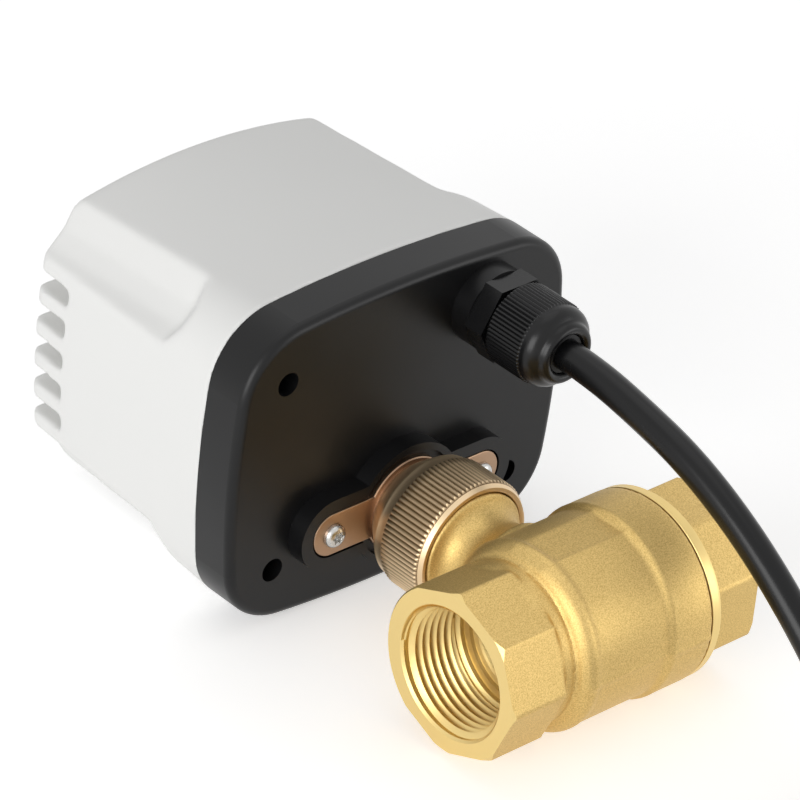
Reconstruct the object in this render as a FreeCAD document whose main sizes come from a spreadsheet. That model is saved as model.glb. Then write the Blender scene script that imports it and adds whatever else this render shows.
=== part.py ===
"""Electric ball valve: a brass G3/4 ball valve with a boxed actuator, lying on its side.

Bench frame, in millimetres: X runs along the pipe, Y is up when the valve lies down, and Z
runs from the actuator's outer face (zero) towards the pipe. Inside the actuator Z is negative.
The seat placement turns this frame so that Y points up and the lowest line touches the floor.
"""
import FreeCAD, Part
import math
import os
import re

import Sketcher
from FreeCAD import Placement, Rotation, Vector

SIZES = {
    # pipe and valve body
    "pipe_height": 51.4,
    "near_face": 31.8,
    "far_face": 32.3,
    "octagon_corner": 17.75,
    "octagon_length": 13.3,
    "face_corner": 17.5,
    "face_bevel": 1.4,
    "groove_corner": 16.8,
    "groove_length": 3.2,
    "barrel_radius": 18.5,
    "shoulder_place": 7.0,
    "shoulder_radius": 19.3,
    "split_place": 17.3,
    "ring_width": 2.5,
    "thread_radius": 12.1,
    "mouth_radius": 13.4,
    "thread_length": 13.2,
    "waterway_radius": 9.6,
    "cavity_radius": 15.3,
    "cap_spigot_radius": 15.9,
    "cap_spigot_reach": 9.0,
    "seal_width": 1.0,
    "brass_fit": 0.05,
    "overlap": 0.1,
    "overshoot": 1.0,
    "skin": 0.01,
    "press_fit": 0.02,
    "edge_break": 0.2,
    "split_groove": 0.5,
    "neck_chamfer": 0.6,
    "neck_root": 2.0,
    "waist_flare": 0.6,
    "waist_reach": 2.1,
    # ball, seats and stem
    "ball_radius": 15.0,
    "ball_bore": 9.5,
    "ball_fit": 0.1,
    "seat_radius": 13.2,
    "seat_back": 13.4,
    "seat_front": 8.4,
    "seat_bore": 10.0,
    "slot_width": 5.0,
    "slot_depth": 2.6,
    "tang_fit": 0.1,
    "tang_gap": 0.6,
    "tang_length": 3.2,
    "stem_radius": 4.0,
    "stem_fit": 0.05,
    "stem_shoulder": 3.0,
    "stem_relief": 2.5,
    "stem_flange_radius": 5.6,
    "stem_flange_height": 1.4,
    "washer_height": 0.8,
    "oring_groove": 3.0,
    "oring_section": 0.5,
    "oring_half": 0.6,
    "oring_pitch": 4.0,
    "stem_square": 5.6,
    "square_reach": 9.6,
    "stem_end": 0.4,
    # neck and union nut
    "neck_top": 13.6,
    "neck_radius": 11.9,
    "collar_place": 23.2,
    "collar_radius": 12.2,
    "collar_height": 1.4,
    "waist_radius": 10.0,
    "waist_place": 28.4,
    "foot_radius": 13.6,
    "foot_place": 34.0,
    "nut_back": 7.3,
    "nut_back_bevel": 1.5,
    "nut_knurl_start": 10.6,
    "nut_step": 0.5,
    "nut_knurl_end": 20.6,
    "nut_rim": 22.1,
    "nut_back_radius": 12.6,
    "nut_band_radius": 13.6,
    "nut_radius": 14.1,
    "nut_rim_radius": 13.7,
    "nut_bore": 12.3,
    "nut_lip": 3.2,
    # mounting flange
    "plate_face": 4.0,
    "plate_thickness": 1.6,
    "plate_radius": 11.5,
    "ear_place": 19.2,
    "ear_radius": 4.75,
    "spigot_radius": 9.1,
    "spigot_bore": 8.2,
    "spigot_shoulder": 12.0,
    "shoulder_height": 2.5,
    "nut_fit": 0.1,
    "flange_screw_head": 2.45,
    "flange_screw_head_height": 1.7,
    "flange_screw_shank": 1.5,
    "flange_screw_length": 8.0,
    "head_crown": 0.55,
    "head_shoulder": 0.9,
    "head_shoulder_height": 0.62,
    "head_side_height": 0.25,
    "screw_end_room": 0.3,
    # actuator base
    "box_centre": 15.0,
    "box_half_width": 42.6,
    "box_half_height": 34.3,
    "box_side_bow": 177.0,
    "box_top_bow": 284.0,
    "box_corner": 15.2,
    "base_depth": 10.1,
    "base_wall": 2.2,
    "base_floor": 2.5,
    "base_edge": 1.8,
    "boss_radius": 13.3,
    "boss_ear_radius": 7.9,
    "boss_gap": 0.35,
    "bearing_fit": 0.05,
    "corner_hole_x": 30.6,
    "corner_hole_y": 21.1,
    "corner_hole_radius": 2.5,
    "corner_hole_depth": 8.0,
    "corner_post_radius": 4.0,
    "screw_post_radius": 3.2,
    "screw_post_depth": 4.5,
    # cover
    "cover_depth": 55.4,
    "far_half_width": 39.3,
    "far_half_height": 33.1,
    "far_top_bow": 132.0,
    "far_corner": 11.9,
    "cover_wall": 2.2,
    "cover_end_wall": 2.3,
    "cover_edge": 3.0,
    "end_room_half_width": 27.4,
    "end_room_half_height": 26.8,
    "end_room_overlap": 1.0,
    "recess_centre": 15.3,
    "recess_crest_x": 29.96,
    "recess_crest_y": 31.2,
    "recess_step_x": 2.9,
    "recess_step_y": 5.5,
    "recess_foot_x": 39.4,
    "recess_foot_y": 20.95,
    "recess_lip": 1.5,
    "recess_slope_in": 3.4,
    "recess_slope_out": 3.5,
    "recess_slope": 1.6,
    "recess_clear": 14.0,
    "recess_start": 19.0,
    "recess_ramp": 6.5,
    "recess_ramp_rise": 4.9,
    "recess_taper": 0.045,
    "notch_pitch": 7.1,
    "notch_width": 3.8,
    "notch_count": 5,
    "notch_depth": 10.5,
    "notch_reach": 12.0,
    "notch_floor_in": 5.5,
    "notch_bend_in": 2.2,
    "notch_bend_rise": 2.4,
    "notch_wall_in": 0.6,
    "notch_wall_rise": 6.0,
    "gasket_height": 0.8,
    "gasket_width": 1.1,
    "gasket_inset": 0.5,
    "gasket_fit": 0.05,
    "cover_post_radius": 4.0,
    "cover_post_depth": 20.0,
    "cover_screw_shank": 1.25,
    "post_bore_fit": 0.3,
    "cover_screw_head": 2.3,
    "cover_screw_head_height": 1.6,
    "cover_screw_length": 15.0,
    "screw_fit": 0.05,
    # gear train
    "output_module": 0.7,
    "train_module": 0.5,
    "output_teeth": 36,
    "wheel_teeth": 34,
    "pinion_teeth": 10,
    "addendum": 0.8,
    "dedendum": 1.15,
    "tooth_share": 0.42,
    "tooth_root_sink": 0.15,
    "tooth_root_share": 1.5,
    "tooth_tip_share": 0.5,
    "first_angle": 60.0,
    "second_angle": 135.0,
    "third_angle": 148.0,
    "layer_one": 4.2,
    "layer_one_width": 3.0,
    "layer_two": 7.6,
    "layer_two_width": 1.8,
    "layer_three": 9.8,
    "layer_three_width": 1.6,
    "gear_gap": 0.2,
    "pin_radius": 1.2,
    "pin_fit": 0.05,
    "hub_radius": 1.8,
    "shaft_radius": 7.2,
    "shaft_reach": 12.5,
    "shaft_waist": 4.5,
    "shaft_end": 21.0,
    "socket_fit": 0.1,
    "socket_room": 0.5,
    "shaft_bevel": 0.5,
    # gear plate, motor, cam and switches
    "plate_place": 13.0,
    "gear_plate_thickness": 1.6,
    "gear_plate_half": 26.0,
    "gear_plate_low": 14.0,
    "gear_plate_high": 43.0,
    "gear_plate_corner": 3.0,
    "plate_post_x": 22.0,
    "plate_post_low": 9.0,
    "plate_post_top": 7.5,
    "plate_post_high": 40.0,
    "plate_post_side": 24.0,
    "plate_post_radius": 2.6,
    "plate_screw_shank": 1.2,
    "plate_screw_head": 2.2,
    "plate_screw_height": 1.4,
    "plate_screw_length": 6.0,
    "lead_hole_radius": 5.0,
    "can_radius": 17.4,
    "can_depth": 21.4,
    "can_wall": 1.0,
    "can_edge": 1.0,
    "lid_fit": 0.05,
    "shaft_end_gap": 0.2,
    "coil_inner": 11.5,
    "coil_outer": 16.0,
    "coil_gap": 2.0,
    "rotor_radius": 10.5,
    "rotor_depth": 15.0,
    "rotor_shaft": 1.0,
    "cam_bore_radius": 4.0,
    "cam_hub": 5.8,
    "cam_radius": 8.5,
    "cam_place": 15.2,
    "cam_height": 4.0,
    "cam_lobe_width": 5.0,
    "cam_nose": 0.4,
    "cam_nose_side": 0.6,
    "cam_root": 1.5,
    "cam_root_side": 1.0,
    "cam_gap": 0.3,
    "switch_depth": 6.0,
    "switch_width": 12.8,
    "switch_height": 5.8,
    "plunger_travel": 1.0,
    "plunger_room": 0.3,
    "plunger_reach": 1.4,
    "plunger_width": 2.4,
    "plunger_height": 1.6,
    "plunger_length": 4.2,
    "plunger_fit": 0.05,
    # circuit board
    "board_place": 24.0,
    "board_thickness": 1.6,
    "board_half": 24.0,
    "board_low": 15.0,
    "board_high": 7.2,
    "standoff_x": 20.0,
    "standoff_low": 4.4,
    "standoff_high": 4.6,
    "standoff_radius": 2.2,
    "terminal_x": 18.0,
    "terminal_width": 10.4,
    "terminal_depth": 8.0,
    "terminal_height": 9.0,
    "relay_width": 12.0,
    "relay_depth": 10.0,
    "relay_height": 8.0,
    "relay_edge": 3.0,
    "capacitor_radius": 3.2,
    "capacitor_height": 9.0,
    "capacitor_edge": 8.0,
    "capacitor_shift": 2.0,
    # cable gland
    "gland_x": 19.4,
    "gland_y": 37.4,
    "gland_root_radius": 8.6,
    "gland_root_height": 4.3,
    "gland_flats": 16.0,
    "gland_hex_height": 4.7,
    "gland_thread_radius": 6.1,
    "gland_body_top": 14.2,
    "gland_inner_end": 6.3,
    "gland_bore": 4.7,
    "gland_nut_radius": 8.8,
    "gland_nut_start": 9.5,
    "gland_nut_shoulder": 19.0,
    "gland_dome_radius": 8.2,
    "gland_mouth": 24.0,
    "gland_mouth_radius": 4.2,
    "gland_mouth_rim": 6.0,
    "gland_mouth_lip": 0.3,
    "gland_mouth_depth": 3.0,
    "gland_thread_run": 2.5,
    "gland_thread_bevel": 0.4,
    "gland_nut_bevel": 0.4,
    "gland_dome_lean": 0.2,
    "gland_dome_rise": 1.5,
    "gland_dome_turn": 0.9,
    "gland_dome_top": 3.2,
    "gland_fit": 0.15,
    "seal_reach": 8.0,
    "seal_collar": 0.3,
    "seal_collar_height": 2.2,
    "seal_shoulder": 3.2,
    "locknut_flats": 14.0,
    "locknut_height": 2.8,
    # cable
    "cable_radius": 3.2,
    "cable_fit": 0.05,
    "cable_start": 23.0,
    "tail_end": 8.0,
    "core_radius": 1.3,
    "core_wire_radius": 0.6,
    "core_wire_length": 7.0,
    "lead_radius": 0.9,
    "lead_pitch": 2.8,
    "coil_radius": 39.5,
    "coil_pitch": 7.1,
    "coil_turns": 2,
    "layer_rise": 6.85,
}

doc = FreeCAD.newDocument("electric_ball_valve")
sheet = doc.addObject("Spreadsheet::Sheet", "sizes")
for row, (alias, number) in enumerate(SIZES.items(), start=1):
    sheet.set(f"A{row}", alias.replace("_", " "))
    sheet.set(f"B{row}", str(number))
    sheet.setAlias(f"B{row}", alias)
doc.recompute()

NODES = []


def bound(text):
    """The expression with each size's name pointing at its cell in the sheet."""
    return re.sub(r"[a-z_]+\b(?!\()", lambda m: f"sizes.{m.group()}" if m.group() in SIZES else m.group(), text)


def value(text):
    """The number that an expression gives now."""
    return float(sheet.evalExpression(text))


def bind(target, field, text):
    """Bind one property of an object to the sheet, unless it is plainly zero."""
    if text != "0":
        target.setExpression(field, bound(text))


def place(target, x="0", y="0", z="0", rotation=None):
    """Put an object at a bound place in the bench frame."""
    if rotation is not None:
        target.Placement = Placement(Vector(0, 0, 0), rotation)
    bind(target, "Placement.Base.x", x)
    bind(target, "Placement.Base.y", y)
    bind(target, "Placement.Base.z", z)
    return target


REST = "box_half_height - box_centre"
SIDE_SHIFT = "(pipe_height + shoulder_radius - base_depth - cover_depth) / 2"


def node(item, label):
    """Name a finished sub-part and lay it on its side on the floor."""
    item.Label = label
    item.Placement = Placement(Vector(0, 0, 0), Rotation(Vector(1, 0, 0), 90))
    bind(item, "Placement.Base.y", SIDE_SHIFT)
    bind(item, "Placement.Base.z", REST)
    NODES.append(item)
    return item


def new_body(name):
    return doc.addObject("PartDesign::Body", name)


def attach(owner, sketch, role, shift):
    """Set a sketch on one of its body's own planes, moved by a bound shift."""
    support = next(item for item in owner.Origin.OriginFeatures if item.Role == role)
    sketch.AttachmentSupport = (support, [""])
    sketch.MapMode = "FlatFace"
    for field, text in zip("xyz", shift):
        bind(sketch, f"AttachmentOffset.Base.{field}", text)


def pin_point(sketch, geometry, end, x, y):
    """Hold one point of a sketch at bound coordinates."""
    for kind, text, axis in (("DistanceX", x, -2), ("DistanceY", y, -1)):
        number = value(text)
        if abs(number) < 1e-9:
            sketch.addConstraint(Sketcher.Constraint("PointOnObject", geometry, end, axis))
        else:
            index = sketch.addConstraint(Sketcher.Constraint(kind, -1, 1, geometry, end, number))
            sketch.setExpression(f"Constraints[{index}]", bound(text))


def outline(owner, name, role, corners, shift=("0", "0", "0")):
    """A closed sketch of straight lines through bound corners."""
    sketch = owner.newObject("Sketcher::SketchObject", name)
    attach(owner, sketch, role, shift)
    points = [Vector(value(x), value(y), 0) for x, y in corners]
    for first, second in zip(points, points[1:] + points[:1]):
        sketch.addGeometry(Part.LineSegment(first, second), False)
    for index in range(len(points)):
        follower = (index + 1) % len(points)
        sketch.addConstraint(Sketcher.Constraint("Coincident", index, 2, follower, 1))
    for index, (x, y) in enumerate(corners):
        pin_point(sketch, index, 1, x, y)
    return sketch


def circles(owner, name, role, rounds, shift=("0", "0", "0")):
    """A sketch of circles, each given as centre x, centre y and radius."""
    sketch = owner.newObject("Sketcher::SketchObject", name)
    attach(owner, sketch, role, shift)
    for index, (x, y, radius) in enumerate(rounds):
        centre = Vector(value(x), value(y), 0)
        sketch.addGeometry(Part.Circle(centre, Vector(0, 0, 1), value(radius)), False)
        pin_point(sketch, index, 3, x, y)
        ring = sketch.addConstraint(Sketcher.Constraint("Radius", index, value(radius)))
        sketch.setExpression(f"Constraints[{ring}]", bound(radius))
    return sketch


def stadium(owner, name, role, reach, radius, shift):
    """A sketch of a long hole's outline: two half circles joined by straight sides."""
    sketch = owner.newObject("Sketcher::SketchObject", name)
    attach(owner, sketch, role, shift)
    far, wide = value(reach), value(radius)
    for side, turn in ((1, -90), (-1, 90)):
        start = math.radians(turn)
        circle = Part.Circle(Vector(side * far, 0, 0), Vector(0, 0, 1), wide)
        sketch.addGeometry(Part.ArcOfCircle(circle, start, start + math.pi), False)
    sketch.addGeometry(Part.LineSegment(Vector(far, wide, 0), Vector(-far, wide, 0)), False)
    sketch.addGeometry(Part.LineSegment(Vector(-far, -wide, 0), Vector(far, -wide, 0)), False)
    for first, end, second, start in ((0, 2, 2, 1), (2, 2, 1, 1), (1, 2, 3, 1), (3, 2, 0, 1)):
        sketch.addConstraint(Sketcher.Constraint("Tangent", first, end, second, start))
    pin_point(sketch, 0, 3, reach, "0")
    pin_point(sketch, 1, 3, f"-({reach})", "0")
    ring = sketch.addConstraint(Sketcher.Constraint("Radius", 0, wide))
    sketch.setExpression(f"Constraints[{ring}]", bound(radius))
    return sketch


def crowned(owner, name, level, inset="0", share="0"):
    """The box outline at a share of the cover's depth: bowed sides and tangent corners, drawn in."""
    sketch = owner.newObject("Sketcher::SketchObject", name)
    attach(owner, sketch, "XY_Plane", ("0", "0", level))

    def between(near, far):
        return near if share == "0" else f"({near} + ({share}) * ({far} - {near}))"

    top_radius = between("box_top_bow", "far_top_bow")
    side_bow = f"box_side_bow - ({inset})"
    top_bow = f"{top_radius} - ({inset})"
    corner = f"{between('box_corner', 'far_corner')} - ({inset})"
    side_centre = f"{between('box_half_width', 'far_half_width')} - box_side_bow"
    top_centre = f"{between('box_half_height', 'far_half_height')} - {top_radius}"
    middle = value("box_centre")
    side_hub = Vector(value(side_centre), middle, 0)
    top_hub = Vector(0, middle + value(top_centre), 0)
    reach_side = value(side_bow) - value(corner)
    reach_top = value(top_bow) - value(corner)
    across = top_hub - side_hub
    span = across.Length
    along = (reach_side ** 2 - reach_top ** 2 + span ** 2) / (2 * span)
    aside = math.sqrt(reach_side ** 2 - along ** 2)
    unit = across / span
    hubs = [side_hub + unit * along + Vector(-unit.y, unit.x, 0) * sign * aside for sign in (1, -1)]
    corner_hub = max(hubs, key=lambda point: point.x + point.y)
    side_angle = math.atan2(corner_hub.y - side_hub.y, corner_hub.x - side_hub.x)
    top_angle = math.atan2(corner_hub.y - top_hub.y, corner_hub.x - top_hub.x)
    half_turn, quarter = math.pi, math.pi / 2
    cx, cy = corner_hub.x, corner_hub.y - middle
    arcs = [
        ((value(side_centre), 0), side_bow, -side_angle, side_angle),
        ((cx, cy), corner, side_angle, top_angle),
        ((0, value(top_centre)), top_bow, top_angle, half_turn - top_angle),
        ((-cx, cy), corner, half_turn - top_angle, half_turn - side_angle),
        ((-value(side_centre), 0), side_bow, half_turn - side_angle, half_turn + side_angle),
        ((-cx, -cy), corner, half_turn + side_angle, half_turn + top_angle),
        ((0, -value(top_centre)), top_bow, half_turn + top_angle, 3 * quarter + quarter - top_angle),
        ((cx, -cy), corner, 2 * half_turn - top_angle, 2 * half_turn - side_angle),
    ]
    for (x, y), radius, start, end in arcs:
        circle = Part.Circle(Vector(x, middle + y, 0), Vector(0, 0, 1), value(radius))
        sketch.addGeometry(Part.ArcOfCircle(circle, start, end), False)
    for index in range(8):
        follower = (index + 1) % 8
        sketch.addConstraint(Sketcher.Constraint("Tangent", index, 2, follower, 1))
    for index, (_, radius, _, _) in enumerate(arcs):
        ring = sketch.addConstraint(Sketcher.Constraint("Radius", index, value(radius)))
        sketch.setExpression(f"Constraints[{ring}]", bound(radius))
    pin_point(sketch, 0, 3, side_centre, "box_centre")
    pin_point(sketch, 4, 3, f"-({side_centre})", "box_centre")
    pin_point(sketch, 2, 3, "0", f"box_centre + {top_centre}")
    pin_point(sketch, 6, 3, "0", f"box_centre - ({top_centre})")
    return sketch


def crowned_block(owner, name, depth, inset="0"):
    """A solid lofted from the box outline at the base to the cover's outline at a depth."""
    loft = owner.newObject("PartDesign::AdditiveLoft", name + "_loft")
    loft.Profile = crowned(owner, name + "_near", "-base_depth", inset)
    loft.Sections = [crowned(owner, name + "_far", f"-base_depth - ({depth})", inset, f"({depth}) / cover_depth")]
    loft.Ruled = True
    doc.recompute()
    return loft


def pad(owner, profile, length, down=False):
    feature = owner.newObject("PartDesign::Pad", profile.Name + "_pad")
    feature.Profile = profile
    bind(feature, "Length", length)
    feature.Reversed = down
    return feature


def pocket(owner, profile, length, up=False):
    """Cut a profile downwards (against Z), or upwards."""
    doc.recompute()
    before = owner.Shape.Volume
    feature = owner.newObject("PartDesign::Pocket", profile.Name + "_cut")
    feature.Profile = profile
    bind(feature, "Length", length)
    feature.Reversed = up
    doc.recompute()
    if not owner.Shape.Volume < before - 1e-6:
        raise RuntimeError(f"{feature.Name} cuts nothing")
    return feature


def revolve(owner, profile, axis):
    feature = owner.newObject("PartDesign::Revolution", profile.Name + "_turn")
    feature.Profile = profile
    feature.ReferenceAxis = (profile, [axis])
    feature.Angle = 360
    return feature


def groove(owner, profile, axis):
    doc.recompute()
    before = owner.Shape.Volume
    feature = owner.newObject("PartDesign::Groove", profile.Name + "_cut")
    feature.Profile = profile
    feature.ReferenceAxis = (profile, [axis])
    feature.Angle = 360
    doc.recompute()
    if not owner.Shape.Volume < before - 1e-6:
        raise RuntimeError(f"{feature.Name} cuts nothing")
    return feature


def polar(owner, name, feature, profile, count):
    """Repeat a feature round its sketch's own normal."""
    doc.recompute()
    pattern = owner.newObject("PartDesign::PolarPattern", name)
    pattern.Originals = [feature]
    pattern.Axis = (profile, ["N_Axis"])
    pattern.Angle = 360
    bind(pattern, "Occurrences", count)
    owner.Tip = pattern
    return pattern


def round_edges(owner, name, radius, chosen, kind="Fillet"):
    """Fillet or chamfer the edges of a body that a test picks."""
    doc.recompute()
    tip = owner.Tip
    names = [f"Edge{i + 1}" for i, edge in enumerate(tip.Shape.Edges) if chosen(edge)]
    feature = owner.newObject(f"PartDesign::{kind}", name)
    feature.Base = (tip, names)
    bind(feature, "Radius" if kind == "Fillet" else "Size", radius)
    doc.recompute()
    return feature


def turned(name, corners, centre=("0", "0")):
    """A body turned about an upright (Z) axis, from a profile of radius and height."""
    owner = new_body(name)
    shift = (centre[0], "0", f"-({centre[1]})")
    revolve(owner, outline(owner, name + "_profile", "XZ_Plane", corners, shift), "V_Axis")
    return owner


def piped(name, corners):
    """A body turned about the pipe axis, from a profile of place along the pipe and radius."""
    owner = new_body(name)
    profile = outline(owner, name + "_profile", "XZ_Plane", corners, ("0", "pipe_height", "0"))
    revolve(owner, profile, "H_Axis")
    return owner


def on_pipe(owner, name, corners):
    return outline(owner, name, "XZ_Plane", corners, ("0", "pipe_height", "0"))


def cylinder(name, radius, height, x="0", y="0", z="0", rotation=None):
    item = doc.addObject("Part::Cylinder", name)
    bind(item, "Radius", radius)
    bind(item, "Height", height)
    return place(item, x, y, z, rotation)


def box(name, length, width, height, x="0", y="0", z="0"):
    item = doc.addObject("Part::Box", name)
    bind(item, "Length", length)
    bind(item, "Width", width)
    bind(item, "Height", height)
    return place(item, x, y, z)


def sphere(name, radius, x="0", y="0", z="0"):
    item = doc.addObject("Part::Sphere", name)
    bind(item, "Radius", radius)
    return place(item, x, y, z)


def fuse(name, items):
    item = doc.addObject("Part::MultiFuse", name)
    item.Shapes = items
    return item


def cut(name, base, tool):
    item = doc.addObject("Part::Cut", name)
    item.Base = base
    item.Tool = tool
    return item


def group(name, items):
    """Several separate solids that share one node."""
    item = doc.addObject("Part::Compound", name)
    item.Links = items
    return item


def mirrored(name, source, base, normal):
    item = doc.addObject("Part::Mirroring", name)
    item.Source = source
    item.Normal = normal
    bind(item, "Base.y", base)
    return item


ALONG_X = Rotation(Vector(0, 1, 0), 90)
ALONG_Y = Rotation(Vector(1, 0, 0), -90)


def octagon(owner, name, place_x, phase):
    """An octagon across the pipe, from its corner radius and the angle of its first corner."""
    corners = []
    for step in range(8):
        angle = phase + 45 * step
        corners.append((f"octagon_corner * cos({angle} deg)", f"octagon_corner * sin({angle} deg)"))
    return outline(owner, name, "YZ_Plane", corners, ("0", "pipe_height", place_x))


def round_side(owner, name, place_x):
    """The octagon's side that faces the actuator, which stays round between two corners."""
    sketch = owner.newObject("Sketcher::SketchObject", name)
    attach(owner, sketch, "YZ_Plane", ("0", "pipe_height", place_x))
    radius = value("octagon_corner")
    eighth = math.pi / 4
    circle = Part.Circle(Vector(0, 0, 0), Vector(0, 0, 1), radius)
    sketch.addGeometry(Part.ArcOfCircle(circle, -3 * eighth, -eighth), False)
    reach = radius * math.cos(eighth)
    sketch.addGeometry(Part.LineSegment(Vector(reach, -reach, 0), Vector(-reach, -reach, 0)), False)
    sketch.addConstraint(Sketcher.Constraint("Coincident", 0, 2, 1, 1))
    sketch.addConstraint(Sketcher.Constraint("Coincident", 1, 2, 0, 1))
    pin_point(sketch, 0, 3, "0", "0")
    ring = sketch.addConstraint(Sketcher.Constraint("Radius", 0, radius))
    sketch.setExpression(f"Constraints[{ring}]", bound("octagon_corner"))
    for end, sign in ((1, ""), (2, "-")):
        text = f"{sign}octagon_corner * cos(45 deg)"
        index = sketch.addConstraint(Sketcher.Constraint("DistanceX", -1, 1, 1, end, value(text)))
        sketch.setExpression(f"Constraints[{index}]", bound(text))
    return sketch


def make_valve_body():
    body = piped("valve_body", [
        ("-near_face + octagon_length - overlap", "0"),
        ("-near_face + octagon_length - overlap", "groove_corner"),
        ("-near_face + octagon_length + groove_length", "groove_corner"),
        ("-near_face + octagon_length + groove_length + barrel_radius - groove_corner", "barrel_radius"),
        ("shoulder_place", "barrel_radius"),
        ("shoulder_place + shoulder_radius - barrel_radius", "shoulder_radius"),
        ("split_place - split_groove - edge_break", "shoulder_radius"),
        ("split_place - split_groove", "shoulder_radius - split_groove"),
        ("split_place", "shoulder_radius - split_groove"),
        ("split_place", "0"),
    ])
    pad(body, octagon(body, "near_octagon", "-near_face", 0), "octagon_length")
    pad(body, round_side(body, "near_round", "-near_face"), "octagon_length")
    bevel = on_pipe(body, "near_bevel", [
        ("-near_face - overshoot", "face_corner"),
        ("-near_face", "face_corner"),
        ("-near_face + face_bevel", "octagon_corner + edge_break"),
        ("-near_face - overshoot", "octagon_corner + edge_break"),
    ])
    groove(body, bevel, "H_Axis")
    neck = outline(body, "neck", "XZ_Plane", [
        ("0", "neck_top"),
        ("neck_radius - neck_chamfer", "neck_top"),
        ("neck_radius", "neck_top + neck_chamfer"),
        ("neck_radius", "collar_place"),
        ("collar_radius", "collar_place"),
        ("collar_radius", "collar_place + collar_height"),
        ("waist_radius + waist_flare", "waist_place - waist_reach"),
        ("waist_radius", "waist_place"),
        ("waist_radius + waist_flare", "waist_place + waist_reach"),
        ("foot_radius", "foot_place"),
        ("foot_radius", "pipe_height - cavity_radius + neck_root"),
        ("0", "pipe_height - cavity_radius + neck_root"),
    ])
    revolve(body, neck, "V_Axis")
    bore = on_pipe(body, "valve_bore", [
        ("-near_face", "0"),
        ("-near_face", "mouth_radius"),
        ("-near_face + mouth_radius - thread_radius", "thread_radius"),
        ("-near_face + thread_length", "thread_radius"),
        ("-near_face + thread_length + thread_radius - waterway_radius", "waterway_radius"),
        ("-seat_back - brass_fit", "waterway_radius"),
        ("-seat_back - brass_fit", "seat_radius + brass_fit"),
        ("-seat_front", "seat_radius + brass_fit"),
        ("-seat_front", "cavity_radius"),
        ("cap_spigot_reach - seal_width", "cavity_radius"),
        ("cap_spigot_reach - seal_width", "cap_spigot_radius + brass_fit"),
        ("split_place", "cap_spigot_radius + brass_fit"),
        ("split_place", "0"),
    ])
    groove(body, bore, "H_Axis")
    stem_hole = outline(body, "stem_hole", "XZ_Plane", [
        ("0", "neck_top"),
        ("stem_radius + stem_fit", "neck_top"),
        ("stem_radius + stem_fit", "pipe_height - ball_radius - stem_shoulder"),
        ("stem_flange_radius + stem_fit", "pipe_height - ball_radius - stem_shoulder"),
        ("stem_flange_radius + stem_fit", "pipe_height - cavity_radius + stem_relief"),
        ("0", "pipe_height - cavity_radius + stem_relief"),
    ])
    groove(body, stem_hole, "V_Axis")
    node(body, "valve_body")


def make_end_cap():
    cap = piped("end_cap", [
        ("cap_spigot_reach", "0"),
        ("cap_spigot_reach", "cap_spigot_radius"),
        ("split_place", "cap_spigot_radius"),
        ("split_place", "shoulder_radius - edge_break"),
        ("split_place + edge_break", "shoulder_radius"),
        ("split_place + ring_width - edge_break", "shoulder_radius"),
        ("split_place + ring_width", "shoulder_radius - edge_break"),
        ("split_place + ring_width", "0"),
    ])
    start = "split_place + ring_width - overlap"
    pad(cap, octagon(cap, "far_octagon", start, 22.5), f"far_face - ({start})")
    bevel = on_pipe(cap, "far_bevel", [
        ("far_face + overshoot", "face_corner"),
        ("far_face", "face_corner"),
        ("far_face - face_bevel", "octagon_corner + edge_break"),
        ("far_face + overshoot", "octagon_corner + edge_break"),
    ])
    groove(cap, bevel, "H_Axis")
    bore = on_pipe(cap, "cap_bore", [
        ("far_face", "0"),
        ("far_face", "mouth_radius"),
        ("far_face - mouth_radius + thread_radius", "thread_radius"),
        ("far_face - thread_length", "thread_radius"),
        ("far_face - thread_length - thread_radius + waterway_radius", "waterway_radius"),
        ("seat_back + brass_fit", "waterway_radius"),
        ("seat_back + brass_fit", "seat_radius + brass_fit"),
        ("cap_spigot_reach", "seat_radius + brass_fit"),
        ("cap_spigot_reach", "0"),
    ])
    groove(cap, bore, "H_Axis")
    node(cap, "end_cap")
    seal = cut(
        "body_seal",
        cylinder("seal_disc", "cap_spigot_radius", "seal_width - 2 * brass_fit",
                 "cap_spigot_reach - seal_width + brass_fit", "0", "pipe_height", ALONG_X),
        cylinder("seal_hole", "cavity_radius", "seal_width", "cap_spigot_reach - seal_width", "0", "pipe_height", ALONG_X),
    )
    node(seal, "body_seal")


def make_ball():
    bored = cut(
        "bored_ball",
        sphere("ball_blank", "ball_radius", "0", "0", "pipe_height"),
        cylinder("ball_hole", "ball_bore", "2 * ball_radius + 2 * overshoot", "0", "-ball_radius - overshoot", "pipe_height", ALONG_Y),
    )
    slot = box("ball_slot", "2 * ball_radius", "slot_width", "slot_depth + overshoot",
               "-ball_radius", "-slot_width / 2", "pipe_height - ball_radius - overshoot")
    node(cut("ball", bored, slot), "ball")


def make_seat(label, start):
    """A seat ring whose face is hollowed to the ball."""
    ring = cut(
        label + "_ring",
        cylinder(label + "_disc", "seat_radius", "seat_back - seat_front", start, "0", "pipe_height", ALONG_X),
        cylinder(label + "_hole", "seat_bore", "seat_back - seat_front", start, "0", "pipe_height", ALONG_X),
    )
    cup = sphere(label + "_cup", "ball_radius + ball_fit", "0", "0", "pipe_height")
    node(cut(label, ring, cup), label)


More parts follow.
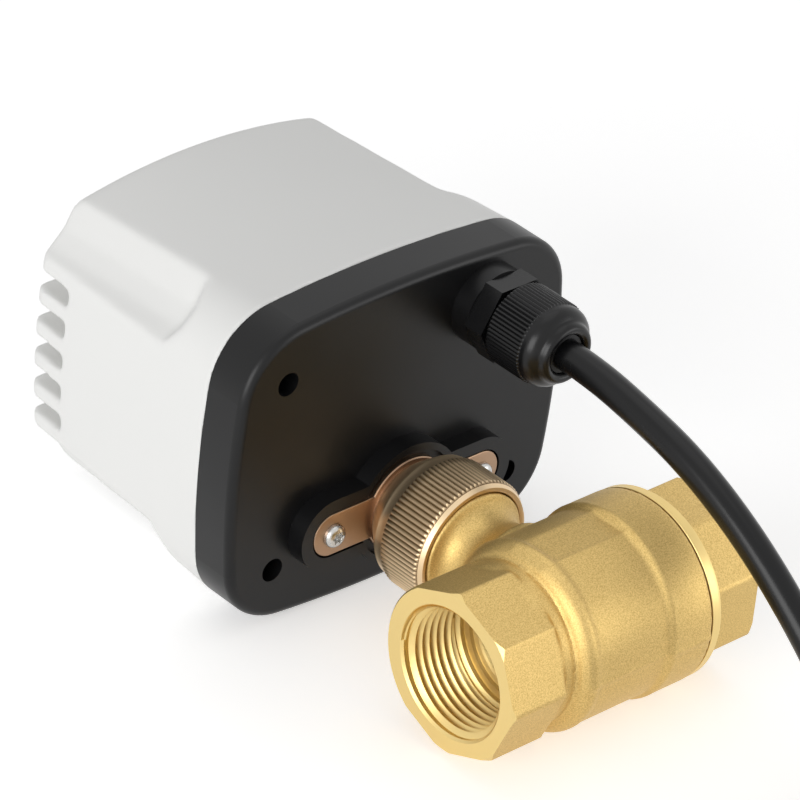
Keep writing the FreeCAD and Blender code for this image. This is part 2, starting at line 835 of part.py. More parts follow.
def make_stem():
    tang_top = "pipe_height - ball_radius - tang_gap"
    flange_top = f"{tang_top} - stem_flange_height"
    stem = turned("stem", [
        ("0", tang_top),
        ("stem_flange_radius", tang_top),
        ("stem_flange_radius", flange_top),
        ("stem_radius", flange_top),
        ("stem_radius", "collar_place + oring_pitch + oring_half"),
        ("oring_groove", "collar_place + oring_pitch + oring_half"),
        ("oring_groove", "collar_place + oring_pitch - oring_half"),
        ("stem_radius", "collar_place + oring_pitch - oring_half"),
        ("stem_radius", "collar_place + oring_half"),
        ("oring_groove", "collar_place + oring_half"),
        ("oring_groove", "collar_place - oring_half"),
        ("stem_radius", "collar_place - oring_half"),
        ("stem_radius", "neck_top + stem_end"),
        ("0", "neck_top + stem_end"),
    ])
    tang = outline(stem, "stem_tang", "XY_Plane", [
        ("-ball_radius / 3", "-slot_width / 2 + tang_fit"),
        ("ball_radius / 3", "-slot_width / 2 + tang_fit"),
        ("ball_radius / 3", "slot_width / 2 - tang_fit"),
        ("-ball_radius / 3", "slot_width / 2 - tang_fit"),
    ], ("0", "0", f"{tang_top} - overlap"))
    pad(stem, tang, "tang_length")
    square = outline(stem, "stem_square_end", "XY_Plane", [
        ("-stem_square / 2", "-stem_square / 2"),
        ("stem_square / 2", "-stem_square / 2"),
        ("stem_square / 2", "stem_square / 2"),
        ("-stem_square / 2", "stem_square / 2"),
    ], ("0", "0", "neck_top + stem_end + overlap"))
    pad(stem, square, "square_reach + stem_end + overlap", down=True)
    node(stem, "stem")
    rings = []
    for count in range(2):
        ring = doc.addObject("Part::Torus", f"oring_{count + 1}")
        bind(ring, "Radius1", "stem_radius - oring_section")
        bind(ring, "Radius2", "oring_section - press_fit")
        rings.append(place(ring, "0", "0", f"collar_place + {count} * oring_pitch"))
    node(group("stem_orings", rings), "stem_orings")
    washer = cut(
        "thrust_washer",
        cylinder("washer_disc", "stem_flange_radius", "washer_height", "0", "0", "pipe_height - ball_radius - stem_shoulder"),
        cylinder("washer_hole", "stem_radius + stem_fit", "washer_height", "0", "0", "pipe_height - ball_radius - stem_shoulder"),
    )
    node(washer, "thrust_washer")


def make_union_nut():
    nut = turned("union_nut", [
        ("spigot_radius + nut_fit", "nut_back"),
        ("nut_back_radius", "nut_back"),
        ("nut_band_radius", "nut_back + nut_back_bevel"),
        ("nut_band_radius", "nut_knurl_start - nut_step"),
        ("nut_radius", "nut_knurl_start"),
        ("nut_radius", "nut_knurl_end"),
        ("nut_rim_radius", "nut_rim"),
        ("nut_bore", "nut_rim"),
        ("nut_bore", "nut_back + nut_lip"),
        ("spigot_radius + nut_fit", "nut_back + nut_lip"),
    ])
    node(nut, "union_nut")


def make_mounting_flange():
    shoulder = "nut_back + nut_lip + nut_fit"
    flange = turned("mounting_flange", [
        ("spigot_bore", "plate_face - plate_thickness"),
        ("plate_radius", "plate_face - plate_thickness"),
        ("plate_radius", "plate_face"),
        ("spigot_radius", "plate_face"),
        ("spigot_radius", shoulder),
        ("spigot_shoulder", shoulder),
        ("spigot_shoulder", f"{shoulder} + shoulder_height"),
        ("spigot_bore", f"{shoulder} + shoulder_height"),
    ])
    ears = stadium(flange, "ears", "XY_Plane", "ear_place", "ear_radius", ("0", "0", "plate_face"))
    pad(flange, ears, "plate_thickness", down=True)
    holes = circles(flange, "ear_holes", "XY_Plane", [
        ("0", "0", "spigot_bore"),
        ("ear_place", "0", "flange_screw_shank + screw_fit"),
        ("-ear_place", "0", "flange_screw_shank + screw_fit"),
    ], ("0", "0", "plate_face + skin"))
    pocket(flange, holes, "plate_thickness + overlap")
    node(flange, "mounting_flange")
    screws = []
    for name, side in (("right", "ear_place"), ("left", "-ear_place")):
        screws.append(make_screw(f"flange_screw_{name}", side, "0", "plate_face", "flange_screw_head",
                                 "flange_screw_head_height", "flange_screw_shank", "flange_screw_length"))
    node(group("flange_screws", screws), "flange_screws")


def make_screw(name, x, y, seat, head, head_height, shank, length, up=True):
    """A pan-head screw with a cross recess: its head stands on the seat, on the side it is driven from."""
    ahead, behind = ("+", "-") if up else ("-", "+")
    return turned(name, [
        ("0", f"{seat} {ahead} {head_height}"),
        (f"{head} * head_crown", f"{seat} {ahead} {head_height}"),
        (f"{head} * head_shoulder", f"{seat} {ahead} {head_height} * head_shoulder_height"),
        (head, f"{seat} {ahead} {head_height} * head_side_height"),
        (head, seat),
        (shank, seat),
        (shank, f"{seat} {behind} ({length} - {shank} / 2)"),
        (f"{shank} / 2", f"{seat} {behind} {length}"),
        ("0", f"{seat} {behind} {length}"),
    ], (x, y))


def make_base():
    base = new_body("actuator_base")
    pad(base, crowned(base, "base_outline", "-base_depth"), "base_depth")
    round_edges(base, "base_front_edge", "base_edge", lambda edge: abs(edge.BoundBox.ZMin) < 1e-4)
    boss = circles(base, "boss_disc", "XY_Plane", [("0", "0", "boss_radius")])
    pad(base, boss, "plate_face")
    boss_ears = stadium(base, "boss_ears", "XY_Plane", "ear_place", "boss_ear_radius", ("0", "0", "0"))
    pad(base, boss_ears, "plate_face")
    root = circles(base, "gland_root", "XY_Plane", [("gland_x", "gland_y", "gland_root_radius")])
    pad(base, root, "gland_root_height")
    hollow = crowned(base, "base_hollow", "-base_depth - skin", "base_wall")
    pocket(base, hollow, "base_depth - base_floor + skin", up=True)
    posts = circles(base, "base_posts", "XY_Plane", corner_rounds("corner_post_radius"),
                    ("0", "0", "-base_floor + overlap"))
    pad(base, posts, "base_depth - base_floor + overlap", down=True)
    carriers = circles(base, "plate_posts", "XY_Plane", plate_post_rounds("plate_post_radius"),
                       ("0", "0", "-base_floor + overlap"))
    pad(base, carriers, "plate_place - base_floor + overlap", down=True)
    screw_posts = circles(base, "screw_posts", "XY_Plane", [
        ("ear_place", "0", "screw_post_radius"),
        ("-ear_place", "0", "screw_post_radius"),
    ], ("0", "0", "-base_floor + overlap"))
    pad(base, screw_posts, "screw_post_depth + overlap", down=True)
    recess = circles(base, "plate_recess", "XY_Plane", [("0", "0", "plate_radius + boss_gap")],
                     ("0", "0", "plate_face"))
    pocket(base, recess, "plate_thickness")
    ear_recess = stadium(base, "ear_recess", "XY_Plane", "ear_place", "ear_radius + boss_gap",
                         ("0", "0", "plate_face"))
    pocket(base, ear_recess, "plate_thickness")
    holes = circles(base, "corner_holes", "XY_Plane", corner_rounds("corner_hole_radius"))
    pocket(base, holes, "corner_hole_depth")
    screw_holes = circles(base, "corner_screw_holes", "XY_Plane", corner_rounds("cover_screw_shank + post_bore_fit"))
    pocket(base, screw_holes, "base_depth + overlap")
    flange_holes = circles(base, "flange_screw_holes", "XY_Plane", [
        ("ear_place", "0", "flange_screw_shank + screw_fit"),
        ("-ear_place", "0", "flange_screw_shank + screw_fit"),
    ], ("0", "0", "plate_face"))
    pocket(base, flange_holes, "flange_screw_length + screw_end_room")
    bearing = circles(base, "bearing", "XY_Plane", [("0", "0", "shaft_radius + bearing_fit")],
                      ("0", "0", "plate_face"))
    pocket(base, bearing, "plate_face + base_floor + overlap")
    gland_hole = circles(base, "gland_hole", "XY_Plane", [
        ("gland_x", "gland_y", "gland_thread_radius + screw_fit"),
    ], ("0", "0", "gland_root_height"))
    pocket(base, gland_hole, "gland_root_height + base_floor + overlap")
    pin_holes = circles(base, "pin_holes", "XY_Plane", [
        (FIRST_X, FIRST_Y, "pin_radius + press_fit"),
        (SECOND_X, SECOND_Y, "pin_radius + press_fit"),
    ], ("0", "0", "-base_floor / 2"))
    pocket(base, pin_holes, "base_floor")
    plate_screw_holes = circles(base, "plate_screw_holes", "XY_Plane",
                                plate_post_rounds("plate_screw_shank + screw_fit"), ("0", "0", "-plate_place"))
    pocket(base, plate_screw_holes, "plate_screw_length - gear_plate_thickness + screw_end_room", up=True)
    groove_outer = crowned(base, "gasket_groove_outer", "-base_depth", "gasket_inset")
    pocket(base, groove_outer, "gasket_height", up=True)
    rim = crowned(base, "gasket_groove_inner", "-base_depth", "gasket_inset + gasket_width")
    pad(base, rim, "gasket_height")
    reopen = crowned(base, "gasket_reopen", "-base_depth - skin", "base_wall")
    pocket(base, reopen, "gasket_height + skin", up=True)
    refill = circles(base, "base_post_ends", "XY_Plane", corner_rounds("corner_post_radius"),
                     ("0", "0", "-base_depth"))
    pad(base, refill, "gasket_height + overlap")
    rebore = circles(base, "base_post_bores", "XY_Plane", corner_rounds("cover_screw_shank + post_bore_fit"),
                     ("0", "0", "-base_depth - skin"))
    pocket(base, rebore, "gasket_height + 2 * overlap", up=True)
    node(base, "actuator_base")


def corner_rounds(radius):
    """A circle at each of the four cover screws."""
    rounds = []
    for x in ("corner_hole_x", "-corner_hole_x"):
        for y in ("box_centre + corner_hole_y", "box_centre - corner_hole_y"):
            rounds.append((x, y, radius))
    return rounds


def plate_post_rounds(radius):
    """A circle at each of the gear plate's four posts."""
    return [
        ("plate_post_x", "-plate_post_low", radius),
        ("-plate_post_x", "-plate_post_low", radius),
        ("plate_post_top", "plate_post_high", radius),
        ("plate_post_x", "plate_post_side", radius),
    ]


def recess_tool(name, sink):
    """What one sunk corner takes away: a steep step and a valley, lofted along the draft."""
    tool = new_body(name)

    def section(label, depth, shift):
        aside = f"(({sink}) - ({shift}))"
        down = f"({aside} + recess_taper * ({depth} - recess_start))"
        crest_x, crest_y = f"recess_crest_x - {aside}", f"recess_centre + recess_crest_y - {down}"
        foot_x, foot_y = f"recess_foot_x - {aside}", f"recess_centre + recess_foot_y - {down}"
        corners = [
            (f"{crest_x} - recess_lip", f"{crest_y} + 2 * recess_lip"),
            (crest_x, crest_y),
            (f"{crest_x} + recess_step_x", f"{crest_y} - recess_step_y"),
            (f"{foot_x} - recess_slope_in", f"{foot_y} + recess_slope"),
            (foot_x, foot_y),
            (f"{foot_x} + recess_slope_out", f"{foot_y} - recess_slope"),
            (f"{foot_x} + recess_clear", f"{crest_y} + recess_clear"),
            (f"{crest_x} - recess_lip", f"{crest_y} + recess_clear"),
        ]
        return outline(tool, f"{name}_{label}", "XY_Plane", corners, ("0", "0", f"-({depth})"))

    ends = [
        section("near", "recess_start", "recess_ramp_rise"),
        section("full", "recess_start + recess_ramp", "0"),
        section("far", "base_depth + cover_depth + 2 * overshoot", "0"),
    ]
    loft = tool.newObject("PartDesign::AdditiveLoft", name + "_loft")
    loft.Profile = ends[0]
    loft.Sections = ends[1:]
    loft.Ruled = True
    doc.recompute()
    return tool


def four_corners(name, sink):
    """The corner tool and its three mirror images."""
    first = recess_tool(name, sink)
    second = mirrored(name + "_left", first, "0", Vector(1, 0, 0))
    third = mirrored(name + "_low", first, "recess_centre", Vector(0, 1, 0))
    fourth = mirrored(name + "_low_left", second, "recess_centre", Vector(0, 1, 0))
    return [first, second, third, fourth]


def notch_tools():
    """The scoops in the far edge of both sides."""
    tool = new_body("notches")
    floor = "-base_depth - cover_depth + notch_depth"
    start = "box_half_width - notch_reach"
    corners = [
        ("box_half_width + overshoot", floor),
        (f"{start} + notch_floor_in", floor),
        (f"{start} + notch_bend_in", f"{floor} - notch_bend_rise"),
        (f"{start} + notch_wall_in", f"{floor} - notch_wall_rise"),
        (start, f"{floor} - notch_depth - overshoot"),
        ("box_half_width + overshoot", f"{floor} - notch_depth - overshoot"),
    ]
    first_centre = "recess_centre - (notch_count - 1) / 2 * notch_pitch"
    profile = outline(tool, "notch_profile", "XZ_Plane", corners, ("0", "0", f"-({first_centre} + notch_width / 2)"))
    scoop = pad(tool, profile, "notch_width")
    doc.recompute()
    pattern = tool.newObject("PartDesign::LinearPattern", "notch_row")
    pattern.Originals = [scoop]
    pattern.Direction = (profile, ["N_Axis"])
    pattern.Reversed = True
    bind(pattern, "Length", "(notch_count - 1) * notch_pitch")
    bind(pattern, "Occurrences", "notch_count")
    tool.Tip = pattern
    doc.recompute()
    return [tool, mirrored("notches_left", tool, "0", Vector(1, 0, 0))]


def make_cover():
    shell = new_body("cover_shell")
    crowned_block(shell, "cover_outline", "cover_depth")
    far = -value("base_depth + cover_depth")
    round_edges(shell, "cover_far_edge", "cover_edge", lambda edge: abs(edge.BoundBox.ZMax - far) < 1e-4)
    carved = cut("cover_carved", shell, fuse("cover_tools", four_corners("recess", "0") + notch_tools()))
    cavity = new_body("cover_cavity")
    crowned_block(cavity, "cavity_outline", "cover_depth - notch_depth - cover_wall", "cover_wall")
    end_room = outline(cavity, "cavity_end", "XY_Plane", [
        ("-end_room_half_width", "box_centre - end_room_half_height"),
        ("end_room_half_width", "box_centre - end_room_half_height"),
        ("end_room_half_width", "box_centre + end_room_half_height"),
        ("-end_room_half_width", "box_centre + end_room_half_height"),
    ], ("0", "0", "-base_depth - cover_depth + notch_depth + cover_wall + end_room_overlap"))
    pad(cavity, end_room, "notch_depth + end_room_overlap + cover_wall - cover_end_wall", down=True)
    room_cut = cut("cover_room", cavity, fuse("room_tools", four_corners("room_recess", "cover_wall")))
    hollow = cut("cover_hollow", carved, room_cut)
    posts, bores = [], []
    for index, (x, y, _) in enumerate(corner_rounds("0")):
        posts.append(cylinder(f"cover_post_{index}", "cover_post_radius", "cover_post_depth",
                              x, y, "-base_depth - cover_post_depth"))
        bores.append(cylinder(f"cover_post_bore_{index}", "cover_screw_shank + screw_fit",
                              "cover_screw_length", x, y, "-base_depth - cover_screw_length + overshoot"))
    cover = cut("cover", fuse("cover_with_posts", [hollow] + posts), fuse("cover_bores", bores))
    node(cover, "cover")


def make_gasket():
    gasket = new_body("cover_gasket")
    ring = crowned(gasket, "gasket_outer", "-base_depth", "gasket_inset + gasket_fit")
    pad(gasket, ring, "gasket_height - gasket_fit")
    opening = crowned(gasket, "gasket_inner", "-base_depth - skin", "gasket_inset + gasket_width - gasket_fit")
    pocket(gasket, opening, "gasket_height + overlap", up=True)
    node(gasket, "cover_gasket")


def make_cover_screws():
    screws = []
    for index, (x, y, _) in enumerate(corner_rounds("0")):
        screws.append(make_screw(f"cover_screw_{index}", x, y, "-corner_hole_depth", "cover_screw_head",
                                 "cover_screw_head_height", "cover_screw_shank", "cover_screw_length"))
    node(group("cover_screws", screws), "cover_screws")


# Gear centres, stepping from the stem axis by the sum of the pitch radii.
OUTPUT_STEP = "(output_teeth + pinion_teeth) / 2 * output_module"
TRAIN_STEP = "(wheel_teeth + pinion_teeth) / 2 * train_module"
FIRST_X = f"{OUTPUT_STEP} * cos(first_angle * 1 deg)"
FIRST_Y = f"{OUTPUT_STEP} * sin(first_angle * 1 deg)"
SECOND_X = f"{FIRST_X} + {TRAIN_STEP} * cos(second_angle * 1 deg)"
SECOND_Y = f"{FIRST_Y} + {TRAIN_STEP} * sin(second_angle * 1 deg)"
MOTOR_X = f"{SECOND_X} + {TRAIN_STEP} * cos(third_angle * 1 deg)"
MOTOR_Y = f"{SECOND_Y} + {TRAIN_STEP} * sin(third_angle * 1 deg)"


def meshing_phase(direction, own_teeth, other_teeth, other_phase):
    """Turn a gear so that its gaps face the other gear's teeth at the pitch point.

    direction is the angle from the other gear's centre to this one's, in degrees.
    """
    other_pitch, own_pitch = 360.0 / other_teeth, 360.0 / own_teeth
    share = ((direction - other_phase) / other_pitch) % 1
    return (direction + 180.0 - (0.5 - share) * own_pitch) % own_pitch


def add_teeth(owner, name, teeth, module, level, width, centre, phase):
    """A ring of straight-sided teeth on a disc of root radius, hanging down from its level."""
    root = f"({teeth} / 2 - dedendum) * {module}"
    pitch = f"{teeth} / 2 * {module}"
    tip = f"({teeth} / 2 + addendum) * {module}"
    half = f"tooth_share * {module} * pi / 2"
    shift = (centre[0], centre[1], f"-({level})")
    disc = circles(owner, name + "_disc", "XY_Plane", [("0", "0", root)], shift)
    pad(owner, disc, width, down=True)
    corners = [
        (f"{root} - tooth_root_sink * {module}", f"-{half} * tooth_root_share"),
        (pitch, f"-{half}"),
        (tip, f"-{half} * tooth_tip_share"),
        (tip, f"{half} * tooth_tip_share"),
        (pitch, half),
        (f"{root} - tooth_root_sink * {module}", f"{half} * tooth_root_share"),
    ]
    profile = outline(owner, name + "_tooth", "XY_Plane", corners, shift)
    profile.AttachmentOffset = Placement(profile.AttachmentOffset.Base, Rotation(Vector(0, 0, 1), phase))
    tooth = pad(owner, profile, width, down=True)
    polar(owner, name + "_ring", tooth, profile, teeth)


def make_gears():
    first, second, third = value("first_angle"), value("second_angle"), value("third_angle")
    big, wheel, pinion = value("output_teeth"), value("wheel_teeth"), value("pinion_teeth")
    phase_first = meshing_phase(first, pinion, big, 0.0)
    phase_second = meshing_phase(second, pinion, wheel, 0.0)
    phase_motor = meshing_phase(third, pinion, wheel, 0.0)

    output = new_body("output_gear")
    add_teeth(output, "output", "output_teeth", "output_module", "layer_one", "layer_one_width", ("0", "0"), 0.0)
    bore = circles(output, "output_bore", "XY_Plane", [("0", "0", "shaft_waist + press_fit")], ("0", "0", "-layer_one"))
    pocket(output, bore, "layer_one_width + overlap")
    node(output, "output_gear")

    spacer_end = "plate_place - gear_gap"
    gear_a = new_body("compound_gear_a")
    spot = (FIRST_X, FIRST_Y)
    add_teeth(gear_a, "first_pinion", "pinion_teeth", "output_module", "layer_one - gear_gap",
              "layer_two - layer_one + gear_gap", spot, phase_first)
    add_teeth(gear_a, "first_wheel", "wheel_teeth", "train_module", "layer_two", "layer_two_width", spot, 0.0)
    finish_compound(gear_a, "first", spot, "base_floor + gear_gap", spacer_end)
    node(gear_a, "compound_gear_a")

    gear_b = new_body("compound_gear_b")
    spot = (SECOND_X, SECOND_Y)
    add_teeth(gear_b, "second_pinion", "pinion_teeth", "train_module", "layer_two - gear_gap",
              "layer_three - layer_two + gear_gap", spot, phase_second)
    add_teeth(gear_b, "second_wheel", "wheel_teeth", "train_module", "layer_three", "layer_three_width", spot, 0.0)
    finish_compound(gear_b, "second", spot, "base_floor + gear_gap", spacer_end)
    node(gear_b, "compound_gear_b")

    motor_gear = new_body("motor_pinion")
    spot = (MOTOR_X, MOTOR_Y)
    add_teeth(motor_gear, "motor", "pinion_teeth", "train_module", "layer_three - gear_gap",
              "layer_three_width + 2 * gear_gap", spot, phase_motor)
    bore = circles(motor_gear, "motor_bore", "XY_Plane", [(MOTOR_X, MOTOR_Y, "rotor_shaft")],
                   ("0", "0", "-layer_three + gear_gap"))
    pocket(motor_gear, bore, "layer_three_width + 2 * gear_gap + overlap")
    node(motor_gear, "motor_pinion")

    pins = []
    for name, x, y in (("first", FIRST_X, FIRST_Y), ("second", SECOND_X, SECOND_Y)):
        pins.append(cylinder(f"{name}_pin", "pin_radius", "plate_place + gear_plate_thickness - base_floor / 2",
                             x, y, "-plate_place - gear_plate_thickness"))
    node(group("gear_pins", pins), "gear_pins")


def finish_compound(owner, name, spot, low, high):
    """Add the hub that keeps a compound gear between base and plate, and bore it."""
    hub = circles(owner, name + "_hub", "XY_Plane", [(spot[0], spot[1], "hub_radius")], ("0", "0", f"-({low})"))
    pad(owner, hub, f"{high} - ({low})", down=True)
    bore = circles(owner, name + "_bore", "XY_Plane", [(spot[0], spot[1], "pin_radius + pin_fit")],
                   ("0", "0", f"-({low}) + skin"))
    pocket(owner, bore, f"{high} - ({low}) + overlap")


def make_drive_shaft():
    shaft = turned("drive_shaft", [
        ("0", "shaft_reach"),
        ("shaft_radius - shaft_bevel", "shaft_reach"),
        ("shaft_radius", "shaft_reach - shaft_bevel"),
        ("shaft_radius", "-layer_one + gear_gap"),
        ("shaft_waist", "-layer_one + gear_gap"),
        ("shaft_waist", "-cam_place + gear_gap"),
        ("cam_bore_radius", "-cam_place + gear_gap"),
        ("cam_bore_radius", "-shaft_end"),
        ("0", "-shaft_end"),
    ])
    half = "(stem_square / 2 + socket_fit)"
    socket = outline(shaft, "shaft_socket", "XY_Plane", [
        (f"-{half}", f"-{half}"),
        (half, f"-{half}"),
        (half, half),
        (f"-{half}", half),
    ], ("0", "0", "shaft_reach"))
    pocket(shaft, socket, "square_reach + shaft_reach - neck_top + socket_room")
    node(shaft, "drive_shaft")


def make_gear_plate():
    plate = new_body("gear_plate")
    sides = outline(plate, "plate_outline", "XY_Plane", [
        ("-gear_plate_half", "-gear_plate_low"),
        ("gear_plate_half", "-gear_plate_low"),
        ("gear_plate_half", "gear_plate_high"),
        ("-gear_plate_half", "gear_plate_high"),
    ], ("0", "0", "-plate_place"))
    pad(plate, sides, "gear_plate_thickness", down=True)
    round_edges(plate, "plate_corners", "gear_plate_corner",
                lambda edge: edge.BoundBox.ZLength > 1 and edge.BoundBox.DiagonalLength < 3)
    holes = circles(plate, "plate_holes", "XY_Plane", [
        ("0", "0", "shaft_waist + bearing_fit"),
        (FIRST_X, FIRST_Y, "pin_radius + press_fit"),
        (SECOND_X, SECOND_Y, "pin_radius + press_fit"),
        (MOTOR_X, MOTOR_Y, "rotor_shaft + pin_fit"),
        ("gland_x", "gland_y", "lead_hole_radius"),
    ] + plate_post_rounds("plate_screw_shank + screw_fit"), ("0", "0", "-plate_place + skin"))
    pocket(plate, holes, "gear_plate_thickness + overlap")
    node(plate, "gear_plate")
    screws = []
    for index, (x, y, _) in enumerate(plate_post_rounds("0")):
        screws.append(make_screw(f"plate_screw_{index}", x, y, "-(plate_place + gear_plate_thickness)",
                                 "plate_screw_head", "plate_screw_height", "plate_screw_shank",
                                 "plate_screw_length", up=False))
    node(group("plate_screws", screws), "plate_screws")


def make_motor():
    seat = "-(plate_place + gear_plate_thickness)"
    spot = (MOTOR_X, MOTOR_Y)
    can = turned("motor_can", [
        ("rotor_shaft + pin_fit", seat),
        ("can_radius - can_edge", seat),
        ("can_radius", f"{seat} - can_edge"),
        ("can_radius", f"{seat} - can_depth"),
        ("can_radius - can_wall", f"{seat} - can_depth"),
        ("can_radius - can_wall", f"{seat} - can_wall"),
        ("rotor_shaft + pin_fit", f"{seat} - can_wall"),
    ], spot)
    node(can, "motor_can")
    lid = turned("motor_lid", [
        ("0", f"{seat} - can_depth + can_wall"),
        ("can_radius - can_wall - lid_fit", f"{seat} - can_depth + can_wall"),
        ("can_radius - can_wall - lid_fit", f"{seat} - can_depth"),
        ("0", f"{seat} - can_depth"),
    ], spot)
    node(lid, "motor_lid")
    coil = turned("motor_coil", [
        ("coil_inner", f"{seat} - coil_gap"),
        ("coil_outer", f"{seat} - coil_gap"),
        ("coil_outer", f"{seat} - can_depth + coil_gap"),
        ("coil_inner", f"{seat} - can_depth + coil_gap"),
    ], spot)
    node(coil, "motor_coil")
    rotor_low = f"({seat} - can_depth / 2 - rotor_depth / 2)"
    rotor = turned("motor_rotor", [
        ("0", "-layer_three + gear_gap"),
        ("rotor_shaft - press_fit", "-layer_three + gear_gap"),
        ("rotor_shaft - press_fit", f"{rotor_low} + rotor_depth"),
        ("rotor_radius", f"{rotor_low} + rotor_depth"),
        ("rotor_radius", rotor_low),
        ("rotor_shaft", rotor_low),
        ("rotor_shaft", f"{seat} - can_depth + can_wall + shaft_end_gap"),
        ("0", f"{seat} - can_depth + can_wall + shaft_end_gap"),
    ], spot)
    node(rotor, "motor_rotor")


def make_cam():
    cam = new_body("cam")
    level = ("0", "0", "-cam_place")
    pad(cam, circles(cam, "cam_hub_disc", "XY_Plane", [("0", "0", "cam_hub")], level), "cam_height", down=True)
    lobe = outline(cam, "cam_lobe", "XY_Plane", [
        ("-cam_radius + cam_nose", "-cam_lobe_width / 2 + cam_nose_side"),
        ("-cam_radius + cam_nose", "cam_lobe_width / 2 - cam_nose_side"),
        ("-cam_hub + cam_root", "cam_lobe_width / 2 + cam_root_side"),
        ("-cam_hub + cam_root", "-cam_lobe_width / 2 - cam_root_side"),
    ], level)
    pad(cam, lobe, "cam_height", down=True)
    bore = circles(cam, "cam_bore", "XY_Plane", [("0", "0", "cam_bore_radius + press_fit")], level)
    pocket(cam, bore, "cam_height + overlap")
    node(cam, "cam")


def make_switch(label, plunger_label, rotation):
    """A small switch on the gear plate, facing the cam, with its plunger.

    Both are drawn for the place left of the cam and turned about the stem axis.
    """
    face = "cam_radius + cam_gap + plunger_reach"
    top = "plate_place + gear_plate_thickness"
    case = box(label + "_case", "switch_depth", "switch_width", "switch_height",
               f"-({face}) - switch_depth", "-switch_width / 2", f"-({top}) - switch_height")
    middle = f"-({top}) - switch_height / 2"
    slot = box(label + "_slot", "plunger_length - plunger_reach + plunger_travel + plunger_room",
               "plunger_width + 2 * plunger_fit", "plunger_height + 2 * plunger_fit",
               f"-({face}) - (plunger_length - plunger_reach + plunger_travel + plunger_room)",
               "-plunger_width / 2 - plunger_fit", f"{middle} - plunger_height / 2 - plunger_fit")
    body = cut(label + "_body", case, slot)
    plunger = box(plunger_label + "_bar", "plunger_length", "plunger_width", "plunger_height",
                  f"-({face}) + plunger_reach - plunger_length", "-plunger_width / 2",
                  f"{middle} - plunger_height / 2")
    for item, name in ((body, label), (plunger, plunger_label)):
        turned_item = group(name, [item])
        node(turned_item, name)
        turned_item.Placement = turned_item.Placement * Placement(Vector(0, 0, 0), Rotation(Vector(0, 0, 1), rotation))


def make_board():
    level = "-(board_place + board_thickness)"
    spots = []
    for x in ("standoff_x", "-standoff_x"):
        for y in ("-standoff_low", "standoff_high"):
            spots.append((x, y))
    seat = "plate_place + gear_plate_thickness"
    standoffs = []
    for index, (x, y) in enumerate(spots):
        standoffs.append(cylinder(f"standoff_{index}", "standoff_radius", f"board_place - ({seat})",
                                  x, y, "-board_place"))
    node(group("board_standoffs", standoffs), "board_standoffs")
    board = box("board_slab", "2 * board_half", "board_low + board_high", "board_thickness",
                "-board_half", "-board_low", level)
    node(group("circuit_board_node", [board]), "circuit_board")
    terminal = box("terminal", "terminal_width", "terminal_depth", "terminal_height",
                   "terminal_x - terminal_width / 2", "board_high - terminal_depth", f"{level} - terminal_height")
    node(group("terminal_node", [terminal]), "terminal_block")
    relay = box("relay_case", "relay_width", "relay_depth", "relay_height",
                "-relay_width / 2", "-board_low + relay_edge", f"{level} - relay_height")
    node(group("relay_node", [relay]), "relay")
    capacitor = cylinder("capacitor_can", "capacitor_radius", "capacitor_height",
                         "-board_half + capacitor_edge", "-board_low / 2 + capacitor_shift", f"{level} - capacitor_height")
    node(group("capacitor_node", [capacitor]), "capacitor")


def hexagon(owner, name, flats, centre, level, phase=0):
    """A hexagon across the gland's axis, from its width across flats."""
    corners = []
    for step in range(6):
        angle = phase + 60 * step
        corners.append((f"({flats}) / 2 / cos(30 deg) * cos({angle} deg)",
                        f"({flats}) / 2 / cos(30 deg) * sin({angle} deg)"))
    return outline(owner, name, "XY_Plane", corners, (centre[0], centre[1], level))


